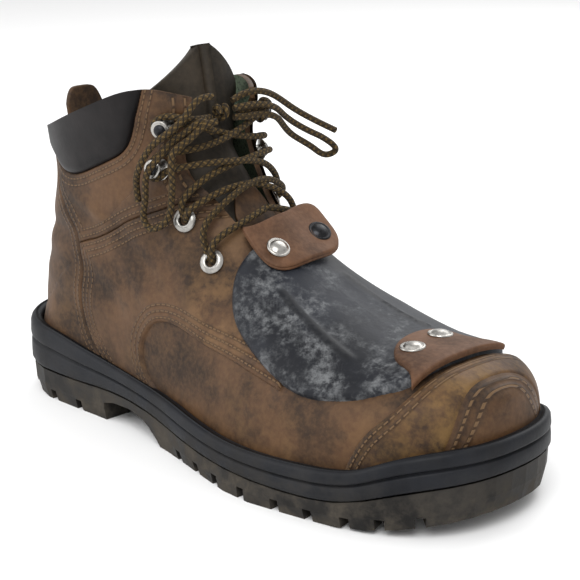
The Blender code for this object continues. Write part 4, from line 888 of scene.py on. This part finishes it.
# %% The upper's wall
everywhere = np.ones(T.shape, bool)
outer_faces = panel_faces(everywhere)
count = T.size
inner = BASE - NORMAL * WALL
inner_faces = panel_faces(everywhere, flip=True, start=count)
number = np.arange(count).reshape(T.shape)
rims = []
for line in (number[:, 0], number[:, -1][::-1], number[-1]):
    rims.append(np.stack([line[:-1], line[1:], line[1:] + count, line[:-1] + count], -1))
wall_faces = np.vstack([outer_faces, *rims])
points = np.concatenate([BASE.reshape(-1, 3), inner.reshape(-1, 3)])
sides = np.concatenate([SIDE.ravel(), SIDE.ravel()])
on_lateral = (sides[wall_faces] < 0).all(1)
upper_lateral = make_mesh("upper_lateral", points, wall_faces[on_lateral], upper_leather)
upper_medial = make_mesh("upper_medial", points, wall_faces[~on_lateral], upper_leather)
inner_side = (sides[inner_faces] < 0).all(1)
lining_lateral = make_mesh("lining_lateral", points, inner_faces[inner_side], lining_mesh)
lining_medial = make_mesh("lining_medial", points, inner_faces[~inner_side], lining_mesh)
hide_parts("upper")
print("upper", [len(o.data.polygons) for o in (upper_lateral, upper_medial, lining_lateral, lining_medial)])

# %% [markdown]
# The panels. Each is named by the seams round it; the smallest distance to them
# says how far inside a point is.

# %% Seam distances by name
FAR = 0.05
CAP_UNDER = 0.003
CAP_STEP = 0.0006
counter_d, counter_s = SEAMS["counter"]
shaft_d, shaft_s = SEAMS["shaft"]
collar_d, collar_s = SEAMS["collar"]
saddle_d, saddle_s = SEAMS["saddle"]
guard_d, guard_s = SEAMS["guard"]
band_d, band_s = SEAMS["band"]
cap_d, cap_s = SEAMS["cap"]
throat_d = np.where(T > 6.6, np.abs(BASE[..., 1]) - throat_half(T), 1.0) + 0.0005


def nearest(*pairs):
    """The smallest of several distances, and the place along its own seam."""
    stack = np.stack([pair[0] for pair in pairs])
    along = np.stack([pair[1] for pair in pairs])
    pick = stack.argmin(0)[None]
    return np.take_along_axis(stack, pick, 0)[0], np.take_along_axis(along, pick, 0)[0]


def seam_facts(*pairs):
    """The two numbers that a stitched finish reads on each vertex."""
    away, along = nearest(*pairs)
    return {"seam_away": away, "seam_along": along}


# %% [markdown]
# The quarters wrap the sides of the boot and the shaft panels stand over them at
# the ankle. On the real boot they are cut from flat hide and stitched down. Here
# each is the master grid at the panel's lift, so no cloth simulation is needed
# and the seams stay where the tables put them.

# %% Quarters and shaft panels
below_shaft = (-shaft_d, shaft_s)
above_shaft = (shaft_d, shaft_s)
front_of_counter = (-counter_d, counter_s)
behind_counter = (counter_d, counter_s)
behind_saddle = (saddle_d, saddle_s)
for name, side in (("lateral", -1), ("medial", 1)):
    inside = np.minimum.reduce(
        [
            -shaft_d, -counter_d, saddle_d, np.where(SIDE == side, FAR, -FAR),
            np.where(BASE[..., 0] < 0.700 * SOLE_LENGTH, FAR, -FAR),
        ]
    )
    facts = seam_facts(below_shaft, front_of_counter, behind_saddle)
    quarter = panel(f"quarter_{name}", inside, PANEL, quarter_leather, facts)
    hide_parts(f"quarter_{name}")
    inside = np.minimum.reduce([shaft_d, -collar_d, -counter_d, np.where(SIDE == side, FAR, -FAR)])
    facts = seam_facts(above_shaft, (-collar_d, collar_s), front_of_counter, (throat_d, T * 0.006))
    shaft = panel(f"shaft_panel_{name}", inside, PANEL, shaft_leather, facts)
    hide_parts(f"shaft_panel_{name}")
    print(name, "quarter and shaft panel", len(quarter.data.polygons), len(shaft.data.polygons))

# %% [markdown]
# The counter stiffens the heel. The collar is a padded roll of smooth leather,
# so its lift rises softly from the seam. Two layers cover the toe: the cap runs a
# little under the band, as it does where a shoemaker skives and laps the edge.

# %% Counter, collar, toe band and toe cap
below_collar = -collar_d
counter = panel(
    "heel_counter", np.minimum.reduce([counter_d, below_collar, np.where(T > 7, FAR, -FAR)]), PANEL,
    counter_leather, seam_facts(behind_counter),
)
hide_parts("heel_counter")
pad = COLLAR_PAD * (0.80 + 0.20 * rise(collar_d, 0.012))
collar = panel(
    "collar", np.where(T > 12, collar_d, -FAR), pad, collar_leather, seam_facts((collar_d, collar_s)),
    edge=0.0045,
)
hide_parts("collar")
band = panel(
    "toe_band", np.minimum.reduce([-band_d, cap_d, np.where(T < 6, FAR, -FAR)]), TOE_LEATHER,
    band_leather, seam_facts((-band_d, band_s)), edge=0.0016,
)
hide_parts("toe_band")
cap = panel(
    "toe_cap", np.where(T < 5, CAP_UNDER - cap_d, -FAR), TOE_LEATHER - CAP_STEP, cap_leather,
    seam_facts((-cap_d, cap_s)), edge=0.0016,
)
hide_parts("toe_cap")
for piece in (counter, collar, band, cap):
    print(piece.name, len(piece.data.polygons))

# %% [markdown]
# The guard is a moulded plate. Two long ribs run forward over it, and a hatched
# band lies beside the lateral one.

# %% The guard


def plan_distance(points, start, stop):
    """Distance in plan to a straight line between two points, and the share of
    the way along it."""
    a = np.array(start) * (SOLE_LENGTH, BALL_WIDTH)
    b = np.array(stop) * (SOLE_LENGTH, BALL_WIDTH)
    step = b - a
    past = points[..., :2] - a
    share = past @ step / (step @ step)
    across = (past[..., 0] * step[1] - past[..., 1] * step[0]) / np.linalg.norm(step)
    return across, share


def ridge(across, share, wide, start=0.0, stop=1.0):
    """1 on a line and 0 beside it: a flat-topped bell that fades at both ends."""
    ends = np.clip((share - start) / 0.10, 0, 1) * np.clip((stop - share) / 0.10, 0, 1)
    return np.exp(-((across / wide) ** 4)) * ends


lateral_across, lateral_share = plan_distance(BASE, (0.600, -0.160), (0.790, -0.250))
medial_across, medial_share = plan_distance(BASE, (0.615, 0.150), (0.800, 0.215))
rib = ridge(lateral_across, lateral_share, 0.0022) + ridge(medial_across, medial_share, 0.0022)
hatch = ridge(lateral_across - 0.0065, lateral_share, 0.0032)
lift = GAP * 3 + (PANEL + GAP) * np.clip((T - 3.3) / 1.4, 0, 1) + GUARD_THICKNESS
lift = lift + 0.0011 * rib - 0.0003 * hatch
guard_inside = np.where((T > 1.2) & (T < 9.8), -guard_d, -FAR)
guard = panel(
    "met_guard", guard_inside, lift, guard_rubber, {"rib": rib, "hatch": hatch}, edge=0.0022,
    dive=0.0015,
)
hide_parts("met_guard")
print("guard", len(guard.data.polygons))

# %% [markdown]
# The sole: closed loops round the feather edge, each at its own offset and
# height, from the ground up to the rim and down into the seat.

# %% The sole's loops


def outline_loop(offset, samples=440):
    """The feather edge in plan, moved outward by an offset along its normal."""
    half = samples // 2
    turn = (1 - np.cos(np.linspace(0, math.pi, half * 8))) / 2
    tip = SOLE_LENGTH - TOE_SETBACK
    along = HEEL_SETBACK + (tip - HEEL_SETBACK) * turn
    sides = []
    for side in (-1, 1):
        line = np.stack(
            [along, swing(along) * np.sin(math.pi * turn) ** 0.1 + side * half_width(along)], -1,
        )
        reach = np.r_[0, np.cumsum(np.linalg.norm(np.diff(line, axis=0), axis=1))]
        at = np.linspace(0, reach[-1], half + 1)
        sides.append(np.stack([np.interp(at, reach, line[:, k]) for k in range(2)], -1))
    sides[1][0], sides[1][-1] = sides[0][0], sides[0][-1]
    loop = np.vstack([sides[0], sides[1][-2:0:-1]])
    step = np.roll(loop, -1, 0) - np.roll(loop, 1, 0)
    normal = np.stack([step[:, 1], -step[:, 0]], -1)
    normal /= np.linalg.norm(normal, axis=1, keepdims=True)
    return loop + normal * offset


def loop_rows(profile):
    """One closed row of points for each offset and height of a profile."""
    rows = []
    for offset, height in profile:
        flat = outline_loop(offset)
        flat = np.vstack([flat, flat[:1]])
        rows.append(np.column_stack([flat, height(np.clip(flat[:, 0], 0, SOLE_LENGTH))]))
    return np.array(rows)


# %% [markdown]
# The midsole's wall has a bead at its foot, a groove half way up and a rounded
# rim that holds the upper like a cup.

# %% The midsole


def share(part):
    """A height as a share of the way from the joint line up to the rim."""
    return lambda along: joint_height(along) + GAP + (rim_height(along) - joint_height(along)) * part


def seat(along):
    """The height at which the rim's inner side ends."""
    return rim_height(along) - FEATHER_DEPTH - 4 * GAP


SIDE_WALL = (
    # share of the height, offset from the wall
    (0.00, -0.0012), (0.02, -0.0002), (0.08, 0.0006), (0.30, 0.0006), (0.44, 0.0004), (0.475, 0.0000),
    (0.50, -0.0012), (0.53, -0.0013),
    (0.56, -0.0002), (0.59, 0.0005), (0.64, 0.0006), (0.86, 0.0003), (0.93, -0.0003), (0.98, -0.0013),
    (1.00, -0.0028),
)
profile = [(RIM_WIDTH + out, share(s)) for s, out in SIDE_WALL]
profile += [
    (0.0044, share(1.0)), (0.0022, share(0.985)), (0.0008, share(0.95)), (0.0004, share(0.90)),
    (0.0012, seat),
]
rows = loop_rows(profile)
midsole = make_mesh("midsole", rows, grid_faces(*rows.shape[:2], flip=True), midsole_rubber)
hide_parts("midsole")
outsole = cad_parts["outsole"]
outsole.data.materials.clear()
outsole.data.materials.append(outsole_rubber)
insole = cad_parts["insole"]
insole.data.materials.clear()
insole.data.materials.append(lining_mesh)
print("midsole", len(midsole.data.polygons))

# %% [markdown]
# Tongue, flap and pull tab: patches over a square of shares, thickened by a
# modifier.

# %% Patches


def patch(name, points, finish, thickness):
    """A grid of points as a sheet, thickened inward."""
    made = make_mesh(name, points, grid_faces(*points.shape[:2]), finish)
    wall = made.modifiers.new("wall", "SOLIDIFY")
    wall.thickness = thickness
    wall.offset = -1.0
    return made


# %% The tongue
TONGUE_WIDTH = ((6.9, 0.32), (8.0, 0.37), (10.0, 0.43), (16.0, 0.45), (19.0, 0.44))
TONGUE_SINK = (
    (6.9, 0.0008), (8.5, 0.0022), (9.5, 0.0040), (10.5, 0.0075), (12.0, 0.0105), (14.0, 0.0118),
    (17.0, 0.0118), (19.0, 0.0100),
)
across, up = np.meshgrid(np.linspace(-1, 1, 61), np.linspace(0, 1, 121))
station = np.minimum(6.9 + (19.0 - 6.9) * up / 0.8, 19.0)
half = ANKLE_WIDTH * column(TONGUE_WIDTH, 0, 1, station) * np.abs(across)
height = edge_height(station, half)
side = np.where(across < 0, -1.0, 1.0)
lift = -(WALL + 0.0012) - column(TONGUE_SINK, 0, 1, station) * (1 - across**2)
points = skin_point(station, height, side, lift)
corner = np.where(across < 0, 0.008, 0.002)
climb = np.maximum(up - 0.8, 0) / 0.2 * (corner + (0.026 - corner) * (1 - np.abs(across) ** 2.2))
points = points + np.stack([-0.32 * climb, 0 * climb, climb], -1)
low_row = 48
rest = np.clip((up - up[low_row, 0]) / (1 - up[low_row, 0]), 0, 1)[..., None]
points = np.where(rest > 0, points[low_row] + (points[-1] - points[low_row]) * rest, points)
tongue = patch("tongue", points, olive_leather, 0.004)
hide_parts("tongue")

# %% [markdown]
# A rounded flap lies over the foot of the tongue, and a tab inside the heel helps
# the wearer to pull the boot on. Both are small patches on the same last.

# %% The tongue flap
across, up = np.meshgrid(np.linspace(-1, 1, 41), np.linspace(0, 1, 41))
station = 7.35 + (8.75 - 0.75 * np.abs(across) ** 2.2 - 7.35) * up
height = edge_height(station, 0.0122 * np.abs(across))
points = skin_point(station, height, np.where(across < 0, -1.0, 1.0), np.full(across.shape, -0.0016))
flap = patch("tongue_flap", points, upper_leather, 0.002)
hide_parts("tongue_flap")

# %% The pull tab
across, up = np.meshgrid(np.linspace(-1, 1, 31), np.linspace(0, 1, 41))
station = 17.3 + (20.9 - 0.9 * np.abs(across) ** 4 - 17.3) * up
s = last_section(station)
share_y = np.clip(0.0125 * np.abs(across) / s["belly"], 0, 1)
height = s["belly_at"] * (1 - (1 - share_y**LOWER_ROUNDNESS) ** (1 / LOWER_ROUNDNESS))
points = skin_point(
    station, height, np.where(across > 0, -1.0, 1.0), np.full(across.shape, -(WALL + 4 * GAP)),
)
pull_tab = patch("pull_tab", points, upper_leather, 0.0022)
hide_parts("pull_tab")


# %% [markdown]
# The keeper is a stiff folded strap over the lacing's foot. Its outline is drawn
# in plan, and rings of that outline run over its top, round its layered edge and
# back underneath, so the groove between the two layers is real.

# %% The lace keeper
GUARD_SEAT = 0.0027
KEEPER_THICKNESS = 0.003
KEEPER_CROWN = 0.0030
KEEPER_TILT = 0.14


def keeper_top(along, across):
    """The keeper's upper face over the ridge: a slope plus a soft crown."""
    stations = np.linspace(5.0, 9.0, 161)
    s = last_section(stations)
    ridge = np.interp(along, s["ridge"][::-1], s["ridge_up"][::-1])
    middle = 0.045 * BALL_WIDTH
    crown = KEEPER_CROWN * np.exp(-(((across - middle / 4) / 0.014) ** 2))
    level = ridge + GUARD_SEAT + GUARD_THICKNESS + GAP + KEEPER_THICKNESS
    return level + KEEPER_TILT * (across - middle) + crown


edge = np.asarray(KEEPER_EDGE) * (SOLE_LENGTH, BALL_WIDTH)
edge = path(np.vstack([edge, edge[:1]]), 161)[:-1]
edge = np.vstack([edge, edge[:1]])
centre = edge.mean(0)
keeper_shape = (
    # share of the outline, share of the thickness below the top
    (0.0, 0.0), (0.2, 0.0), (0.4, 0.0), (0.6, 0.0), (0.8, 0.0), (0.92, 0.0), (0.965, 0.03),
    (0.985, 0.12), (0.998, 0.28), (0.998, 0.42), (0.985, 0.47),
    (0.998, 0.54), (0.998, 0.78), (0.98, 0.95), (0.96, 1.0), (0.7, 1.0), (0.3, 1.0), (0.0, 1.0),
)
rows = []
for out, deep in keeper_shape:
    line = centre + (edge - centre) * out
    rows.append(np.column_stack([line, keeper_top(line[:, 0], line[:, 1]) - KEEPER_THICKNESS * deep]))
keeper = make_mesh("lace_keeper", np.array(rows), grid_faces(len(rows), len(edge)), tan_leather)
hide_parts("lace_keeper")



# %% [markdown]
# The toe tab holds the guard down in front. It is drawn in plan too, but has to
# lie on the curved toe, so each place in plan is first found on the last.

# %% The toe tab


def over_plan(x, y):
    """The section, height and side of the last over places in plan: the section
    is corrected until the point lies over its place."""
    t = np.linspace(0, 9, 400)
    t = np.interp(x, last_section(t)["ridge"][::-1], t[::-1])
    w = y

    def reach(t, w):
        """Where a section's point lies along, and its middle."""
        s, h = last_section(t), edge_height(t, np.abs(w))
        middle = s["base_swing"] + (s["swing"] - s["base_swing"]) * h
        return s["base"] + (s["ridge"] - s["base"]) * h, middle

    for _ in range(14):
        along, middle = reach(t, w)
        slope = (reach(t + 0.01, w)[0] - along) / 0.01
        t = np.clip(t - (along - x) / slope, 0, 12)
        w = y - middle
    return t, edge_height(t, np.abs(w)), np.where(w < 0, -1.0, 1.0)


tab_line = path(np.asarray(TAB_EDGE) * (SOLE_LENGTH, BALL_WIDTH), 161)
front = np.linspace(tab_line[-1], tab_line[0], 61)[1:]
tab_line = np.vstack([tab_line, front])
centre = tab_line.mean(0)
tab_shape = (
    (0.0, 0.0), (0.15, 0.0), (0.3, 0.0), (0.45, 0.0), (0.6, 0.0), (0.75, 0.0), (0.88, 0.0),
    (0.95, 0.03), (0.98, 0.15), (0.995, 0.4), (1.0, 0.75), (1.0, 1.3),
)
out, deep = np.array(tab_shape)[:, 0][:, None], np.array(tab_shape)[:, 1][:, None]
x, y = (centre[k] + (tab_line[:, k] - centre[k])[None] * out for k in range(2))
t, h, side = over_plan(x, y)
low = TOE_LEATHER + 2 * GAP
high = GAP * 3 + (PANEL + GAP) * np.clip((t - 3.3) / 1.4, 0, 1) + GUARD_THICKNESS + GAP
lift = low + (high - low) * np.clip((t - 1.2) / 0.7, 0, 1) + TAB_THICKNESS * (1 - deep)
tab = make_mesh("guard_tab", skin_point(t, h, side, lift), grid_faces(*x.shape), tab_leather)
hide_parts("guard_tab")
print("patches", [len(o.data.polygons) for o in (tongue, flap, pull_tab, keeper, tab)])

# %% [markdown]
# Metal: rolled eyelets, hooks with ringed heads, domed studs on the keeper
# and rivets with washers on the toe tab.

# %% Metal


def place_on(station, height, side, lift):
    """A point off the last and the outward direction there."""
    p = skin_point(np.array(station), np.array(height), np.array(float(side)), np.array(lift))
    return p, last_normal(np.array(station), np.array(height), np.array(float(side)))


RING = [
    (0.0024, -0.004), (0.0024, 0.0002), (0.0027, 0.0009), (0.0034, 0.0014), (0.0044, 0.0012),
    (0.0053, 0.0006), (0.0058, 0.0),
]
HOOK = [
    (0.0, 0.0084), (0.0012, 0.0083), (0.0024, 0.0080), (0.0027, 0.0076), (0.0032, 0.0077),
    (0.0041, 0.0076), (0.0046, 0.0071), (0.0045, 0.0066), (0.0021, 0.0060), (0.0021, 0.0018),
    (0.0046, 0.0010), (0.0052, 0.0004),
]
DOME = [
    (0.0, 0.0020), (0.0018, 0.0019), (0.0034, 0.0014), (0.0040, 0.0006), (0.0044, 0.0004),
    (0.0050, 0.0008), (0.0056, 0.0005), (0.0057, 0.0),
]
BUTTON = [(0.0, 0.0094), (0.0014, 0.0092), (0.0026, 0.0086), (0.0029, 0.0078)]
metal = []
for kind, places, profile in (("eyelet", EYELETS, RING), ("lace_hook", HOOKS, HOOK)):
    for number, (station, height) in enumerate(places, 1):
        for side, word in ((-1, "lateral"), (1, "medial")):
            centre, facing = place_on(station, height, side, PANEL + (4 if kind == "eyelet" else 2) * GAP)
            name = f"{kind}_{word}_{number}"
            made = turned(name, profile[::-1] if kind == "eyelet" else profile, centre, facing, nickel)
            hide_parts(name)
            metal.append(made)
for name, along, across_y in (("keeper_stud_lateral", 0.578, -0.075), ("keeper_stud_medial", 0.577, 0.185)):
    x, y = along * SOLE_LENGTH, across_y * BALL_WIDTH
    slope = (keeper_top(x + 0.002, y) - keeper_top(x - 0.002, y)) / 0.004
    made = turned(
        name, DOME, (x, y, keeper_top(x, y)), (-slope, -KEEPER_TILT, 1.0),
        nickel if "lateral" in name else dark_metal,
    )
    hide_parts(name)
    metal.append(made)
for station, height in HOOKS:
    for side in (-1, 1):
        centre, facing = place_on(station, height, side, PANEL + 2 * GAP)
        button = turned(f"hook_button_{len(metal)}", BUTTON, centre, facing, dark_metal)
        metal.append(button)
for name in ("toe_rivet_lateral", "toe_rivet_medial"):
    low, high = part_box(name)
    centre = (np.array(low) + np.array(high)) / 2 + ORIGIN
    near = np.argmin(((BASE - centre) ** 2).sum(-1))
    facing = NORMAL.reshape(-1, 3)[near]
    made = turned(name, DOME, centre - facing * 0.0010, facing, nickel)
    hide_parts(name)
    metal.append(made)
print("metal", len(metal))

# %% [markdown]
# The lace: two halves cross over the tongue, dip into the eyelets and pass
# behind the hooks; knot, loops and ends lie as in the photo.

# %% Lace routes
LATERAL_LOOP = (
    # station, height, lift
    (18.30, 0.967, 0.0112), (17.20, 0.946, 0.0112), (16.05, 0.924, 0.0112), (14.75, 0.888, 0.0125),
    (13.2, 0.870, 0.0150),
    (11.90, 0.840, 0.0145), (10.79, 0.749, 0.0085), (10.55, 0.714, 0.0070), (10.13, 0.700, 0.0065),
    (9.70, 0.743, 0.0065),
    (9.70, 0.785, 0.0070), (9.99, 0.826, 0.0095), (10.60, 0.872, 0.0150), (12.10, 0.912, 0.0165),
    (14.20, 0.935, 0.0130),
    (15.80, 0.955, 0.0125), (16.90, 0.974, 0.0108),
)
LATERAL_END = (
    (19.35, 0.975, 0.0045), (19.30, 0.948, 0.0085), (18.80, 0.920, 0.0120), (17.20, 0.880, 0.0155),
    (15.40, 0.845, 0.0158),
    (13.30, 0.814, 0.0158), (12.20, 0.795, 0.0125), (11.26, 0.738, 0.0070),
)
MEDIAL_LOOP = (
    # shares of the sole's length, the ankle's width and the shaft's height
    (0.4565, 0.013, 0.942), (0.462, 0.110, 0.940), (0.463, 0.200, 0.940), (0.465, 0.330, 0.930),
    (0.453, 0.460, 0.900), (0.440, 0.620, 0.850),
    (0.445, 0.800, 0.800), (0.452, 0.940, 0.775), (0.457, 0.965, 0.785), (0.452, 0.920, 0.815),
    (0.446, 0.780, 0.850), (0.441, 0.620, 0.890),
    (0.453, 0.460, 0.930), (0.465, 0.330, 0.957), (0.463, 0.200, 0.970), (0.462, 0.115, 0.971),
    (0.4565, 0.013, 0.967),
)
MEDIAL_END = (
    (0.449, 0.030, 0.986), (0.452, 0.105, 1.000), (0.456, 0.200, 1.006), (0.455, 0.330, 0.995),
    (0.449, 0.460, 0.970), (0.444, 0.620, 0.930), (0.450, 0.800, 0.885), (0.459, 0.958, 0.848),
)


# %% [markdown]
# A route is a short list of given points. A smooth curve runs through
# them, and the hooks are passed on small circles in the leather's own plane.

# %% Route helpers


def route_line(points, count):
    """A smooth curve through a route, closer points in tight turns."""
    points = np.asarray(points, float)
    reach = np.r_[0, np.cumsum(np.linalg.norm(np.diff(points, axis=0), axis=1))]
    at = np.interp(np.linspace(0, len(reach) - 1, count), np.arange(len(reach)), reach)
    return np.stack([smooth(reach, points[:, k], at) for k in range(3)], -1)


def unit(v):
    """A vector of length 1."""
    return v / np.linalg.norm(v)


def on_skin(station, height, side, lift):
    """One point that stands off the last."""
    return skin_point(
        np.array(float(station)), np.array(float(height)), np.array(float(side)),
        np.array(float(lift)),
    )


def around(place, side, turn, radius, lift, slide=0.0):
    """A point on a circle round a lacing point, in the plane of the leather."""
    side = float(side)
    facing = last_normal(np.array(place[0]), np.array(place[1]), np.array(side))
    here = last_point(np.array(place[0]), np.array(place[1]), np.array(side))
    out = last_point(np.array(place[0]), np.array(place[1] - 0.03), np.array(side)) - here
    out = unit(out - facing * (out @ facing))
    up = last_point(np.array(place[0] + 0.3), np.array(place[1]), np.array(side)) - here
    up = unit(up - facing * (up @ facing) - out * (up @ out))
    return here + facing * lift + out * (radius * math.cos(turn) - slide) + up * radius * math.sin(turn)


def crossing_route(side, level):
    """One half of the lacing from the foot of the throat up to the knot."""

    def edge(station, turn, lift=0.0060):
        """A point just outside the throat's edge."""
        half = ANKLE_WIDTH * float(column(THROAT, 0, 1, station)) + 0.0022
        return on_skin(station, edge_height(station, half), side * turn, lift)

    def middle(station, lift):
        """A point over the ridge."""
        return on_skin(station, 1.0, 1, lift + level) + np.array([0, 0.0005 * side, 0])

    def wrapped(place, turn):
        """Points half way round a hook's stem."""
        steps = [
            (-1.0, 0.0045), (-1.0, 0.0), (-0.5, 0.0), (0.0, 0.0), (0.5, 0.0), (1.0, 0.0),
            (1.0, 0.0045),
        ]
        return [around(place, side * turn, math.pi / 2 * a, 0.0044, 0.0060, slide) for a, slide in steps]

    points = [
        np.array([0.5210 * SOLE_LENGTH, 0.002, 0.697 * SHAFT_HEIGHT]),
        edge(7.75, 1),
        on_skin(EYELETS[0][0] + 0.06, EYELETS[0][1] + 0.020, side, 0.0052),
        on_skin(EYELETS[0][0], EYELETS[0][1], side, 0.0012),
        on_skin(EYELETS[0][0] + 0.42, EYELETS[0][1] + 0.022, side, 0.0054),
        edge(8.45, 1),
        middle(8.60, 0.0026),
        edge(9.0, -1),
        on_skin(EYELETS[1][0] - 0.05, EYELETS[1][1] + 0.020, -side, 0.0052),
        on_skin(EYELETS[1][0], EYELETS[1][1], -side, 0.0012),
        on_skin(EYELETS[1][0] + 0.30, EYELETS[1][1] + 0.022, -side, 0.0054),
        edge(9.75, -1),
        middle(9.60, 0.0010),
        edge(11.3, 1, 0.0070),
        *wrapped(HOOKS[0], 1),
        edge(13.4, 1, 0.0068),
        middle(11.3, -0.0035),
        edge(16.1, -1, 0.0068),
        *wrapped(HOOKS[1], -1),
        edge(18.6, -1, 0.0072),
        np.array([0.437 * SOLE_LENGTH, -side * 0.0085, 0.945 * SHAFT_HEIGHT]),
    ]
    return np.array(points)


# %% Crossings and knot
for side, level, word in ((-1, 0.0010, "lateral"), (1, -0.0010, "medial")):
    line = route_line(crossing_route(side, level), 620)
    tube(f"lacing_from_{word}", line, LACE_RADIUS, lace_braid)
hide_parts("lace_crossings")

knot_centre = np.array([0.440 * SOLE_LENGTH, -0.042 * ANKLE_WIDTH, 0.955 * SHAFT_HEIGHT])
turns = np.linspace(0, 2 * math.pi * 1.25, 40)
curl = knot_centre + np.stack(
    [0.0026 * np.cos(turns), 0.0043 * (turns / (2 * math.pi) - 0.62), 0.0026 * np.sin(turns)], -1,
)
knot = tube("lace_knot", route_line(curl, 120), LACE_RADIUS, lace_braid)
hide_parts("lace_knot")

# %% Free loops and ends
scale = np.array([SOLE_LENGTH, ANKLE_WIDTH, SHAFT_HEIGHT])
on_last = lambda route: [on_skin(t, h, -1, lift) for t, h, lift in route]
free = {
    "lace_loop_lateral": (on_last(LATERAL_LOOP), "object"),
    "lace_loop_medial": (np.array(MEDIAL_LOOP) * scale, "object"),
    "lace_end_lateral": (on_last(LATERAL_END), "bare"),
    "lace_end_medial": (np.array(MEDIAL_END) * scale, "bare"),
}
for name, (route, far_end) in free.items():
    line = route_line(route, 240)
    made = tube(name, line, LACE_RADIUS, lace_braid)
    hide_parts(name)

# %% [markdown]
# Studio: a pale floor, soft lights and the camera of the photo.

# %% Floor and world
floor_mesh = bpy.data.meshes.new("floor")
floor_mesh.from_pydata([(-3, -3, 0), (3, -3, 0), (3, 3, 0), (-3, 3, 0)], [], [(0, 1, 2, 3)])
floor = bpy.data.objects.new("floor", floor_mesh)
floor_finish = Finish("pale floor", 0.9)
floor_mesh.materials.append(floor_finish.finish((0.86, 0.86, 0.86)))
bpy.context.scene.collection.objects.link(floor)

world = bpy.context.scene.world or bpy.data.worlds.new("world")
bpy.context.scene.world = world
world.use_nodes = True
world.node_tree.nodes["Background"].inputs["Color"].default_value = (1.0, 1.0, 1.0, 1.0)
world.node_tree.nodes["Background"].inputs["Strength"].default_value = 0.85

# %% Lights
LIGHTS = (
    # name, position, size, power
    ("key", (0.9, -1.1, 1.5), 1.2, 26.0),
    ("fill", (-0.9, -1.0, 0.8), 1.4, 10.0),
    ("back", (-0.2, 1.3, 1.2), 1.2, 14.0),
)
for name, position, size, power in LIGHTS:
    light = bpy.data.lights.new(name, "AREA")
    light.size = size
    light.energy = power
    lamp = bpy.data.objects.new(name, light)
    lamp.location = position
    lamp.rotation_euler = (Vector((0.1, 0, 0.08)) - Vector(position)).to_track_quat("-Z", "Y").to_euler()
    bpy.context.scene.collection.objects.link(lamp)

# %% Camera
CAMERA_AT, CAMERA_TO, CAMERA_ROLL = (0.647895, -0.494062, 0.283718), (0.104, 0.028097, 0.066640), -1.0848
camera_data = bpy.data.cameras.new("camera")
camera_data.lens = 98.905
camera_data.sensor_width = 36
camera = bpy.data.objects.new("camera", camera_data)
camera.location = CAMERA_AT
aim = (Vector(CAMERA_TO) - Vector(CAMERA_AT)).to_track_quat("-Z", "Y").to_matrix()
roll = math.radians(CAMERA_ROLL)
right, over, back = (aim.col[k].copy() for k in range(3))
turned_right = right * math.cos(roll) + over * math.sin(roll)
turned_over = -right * math.sin(roll) + over * math.cos(roll)
aim.col[0], aim.col[1] = turned_right, turned_over
camera.rotation_euler = aim.to_euler()
bpy.context.scene.collection.objects.link(camera)
bpy.context.scene.camera = camera
bpy.context.scene.view_settings.view_transform = "Standard"
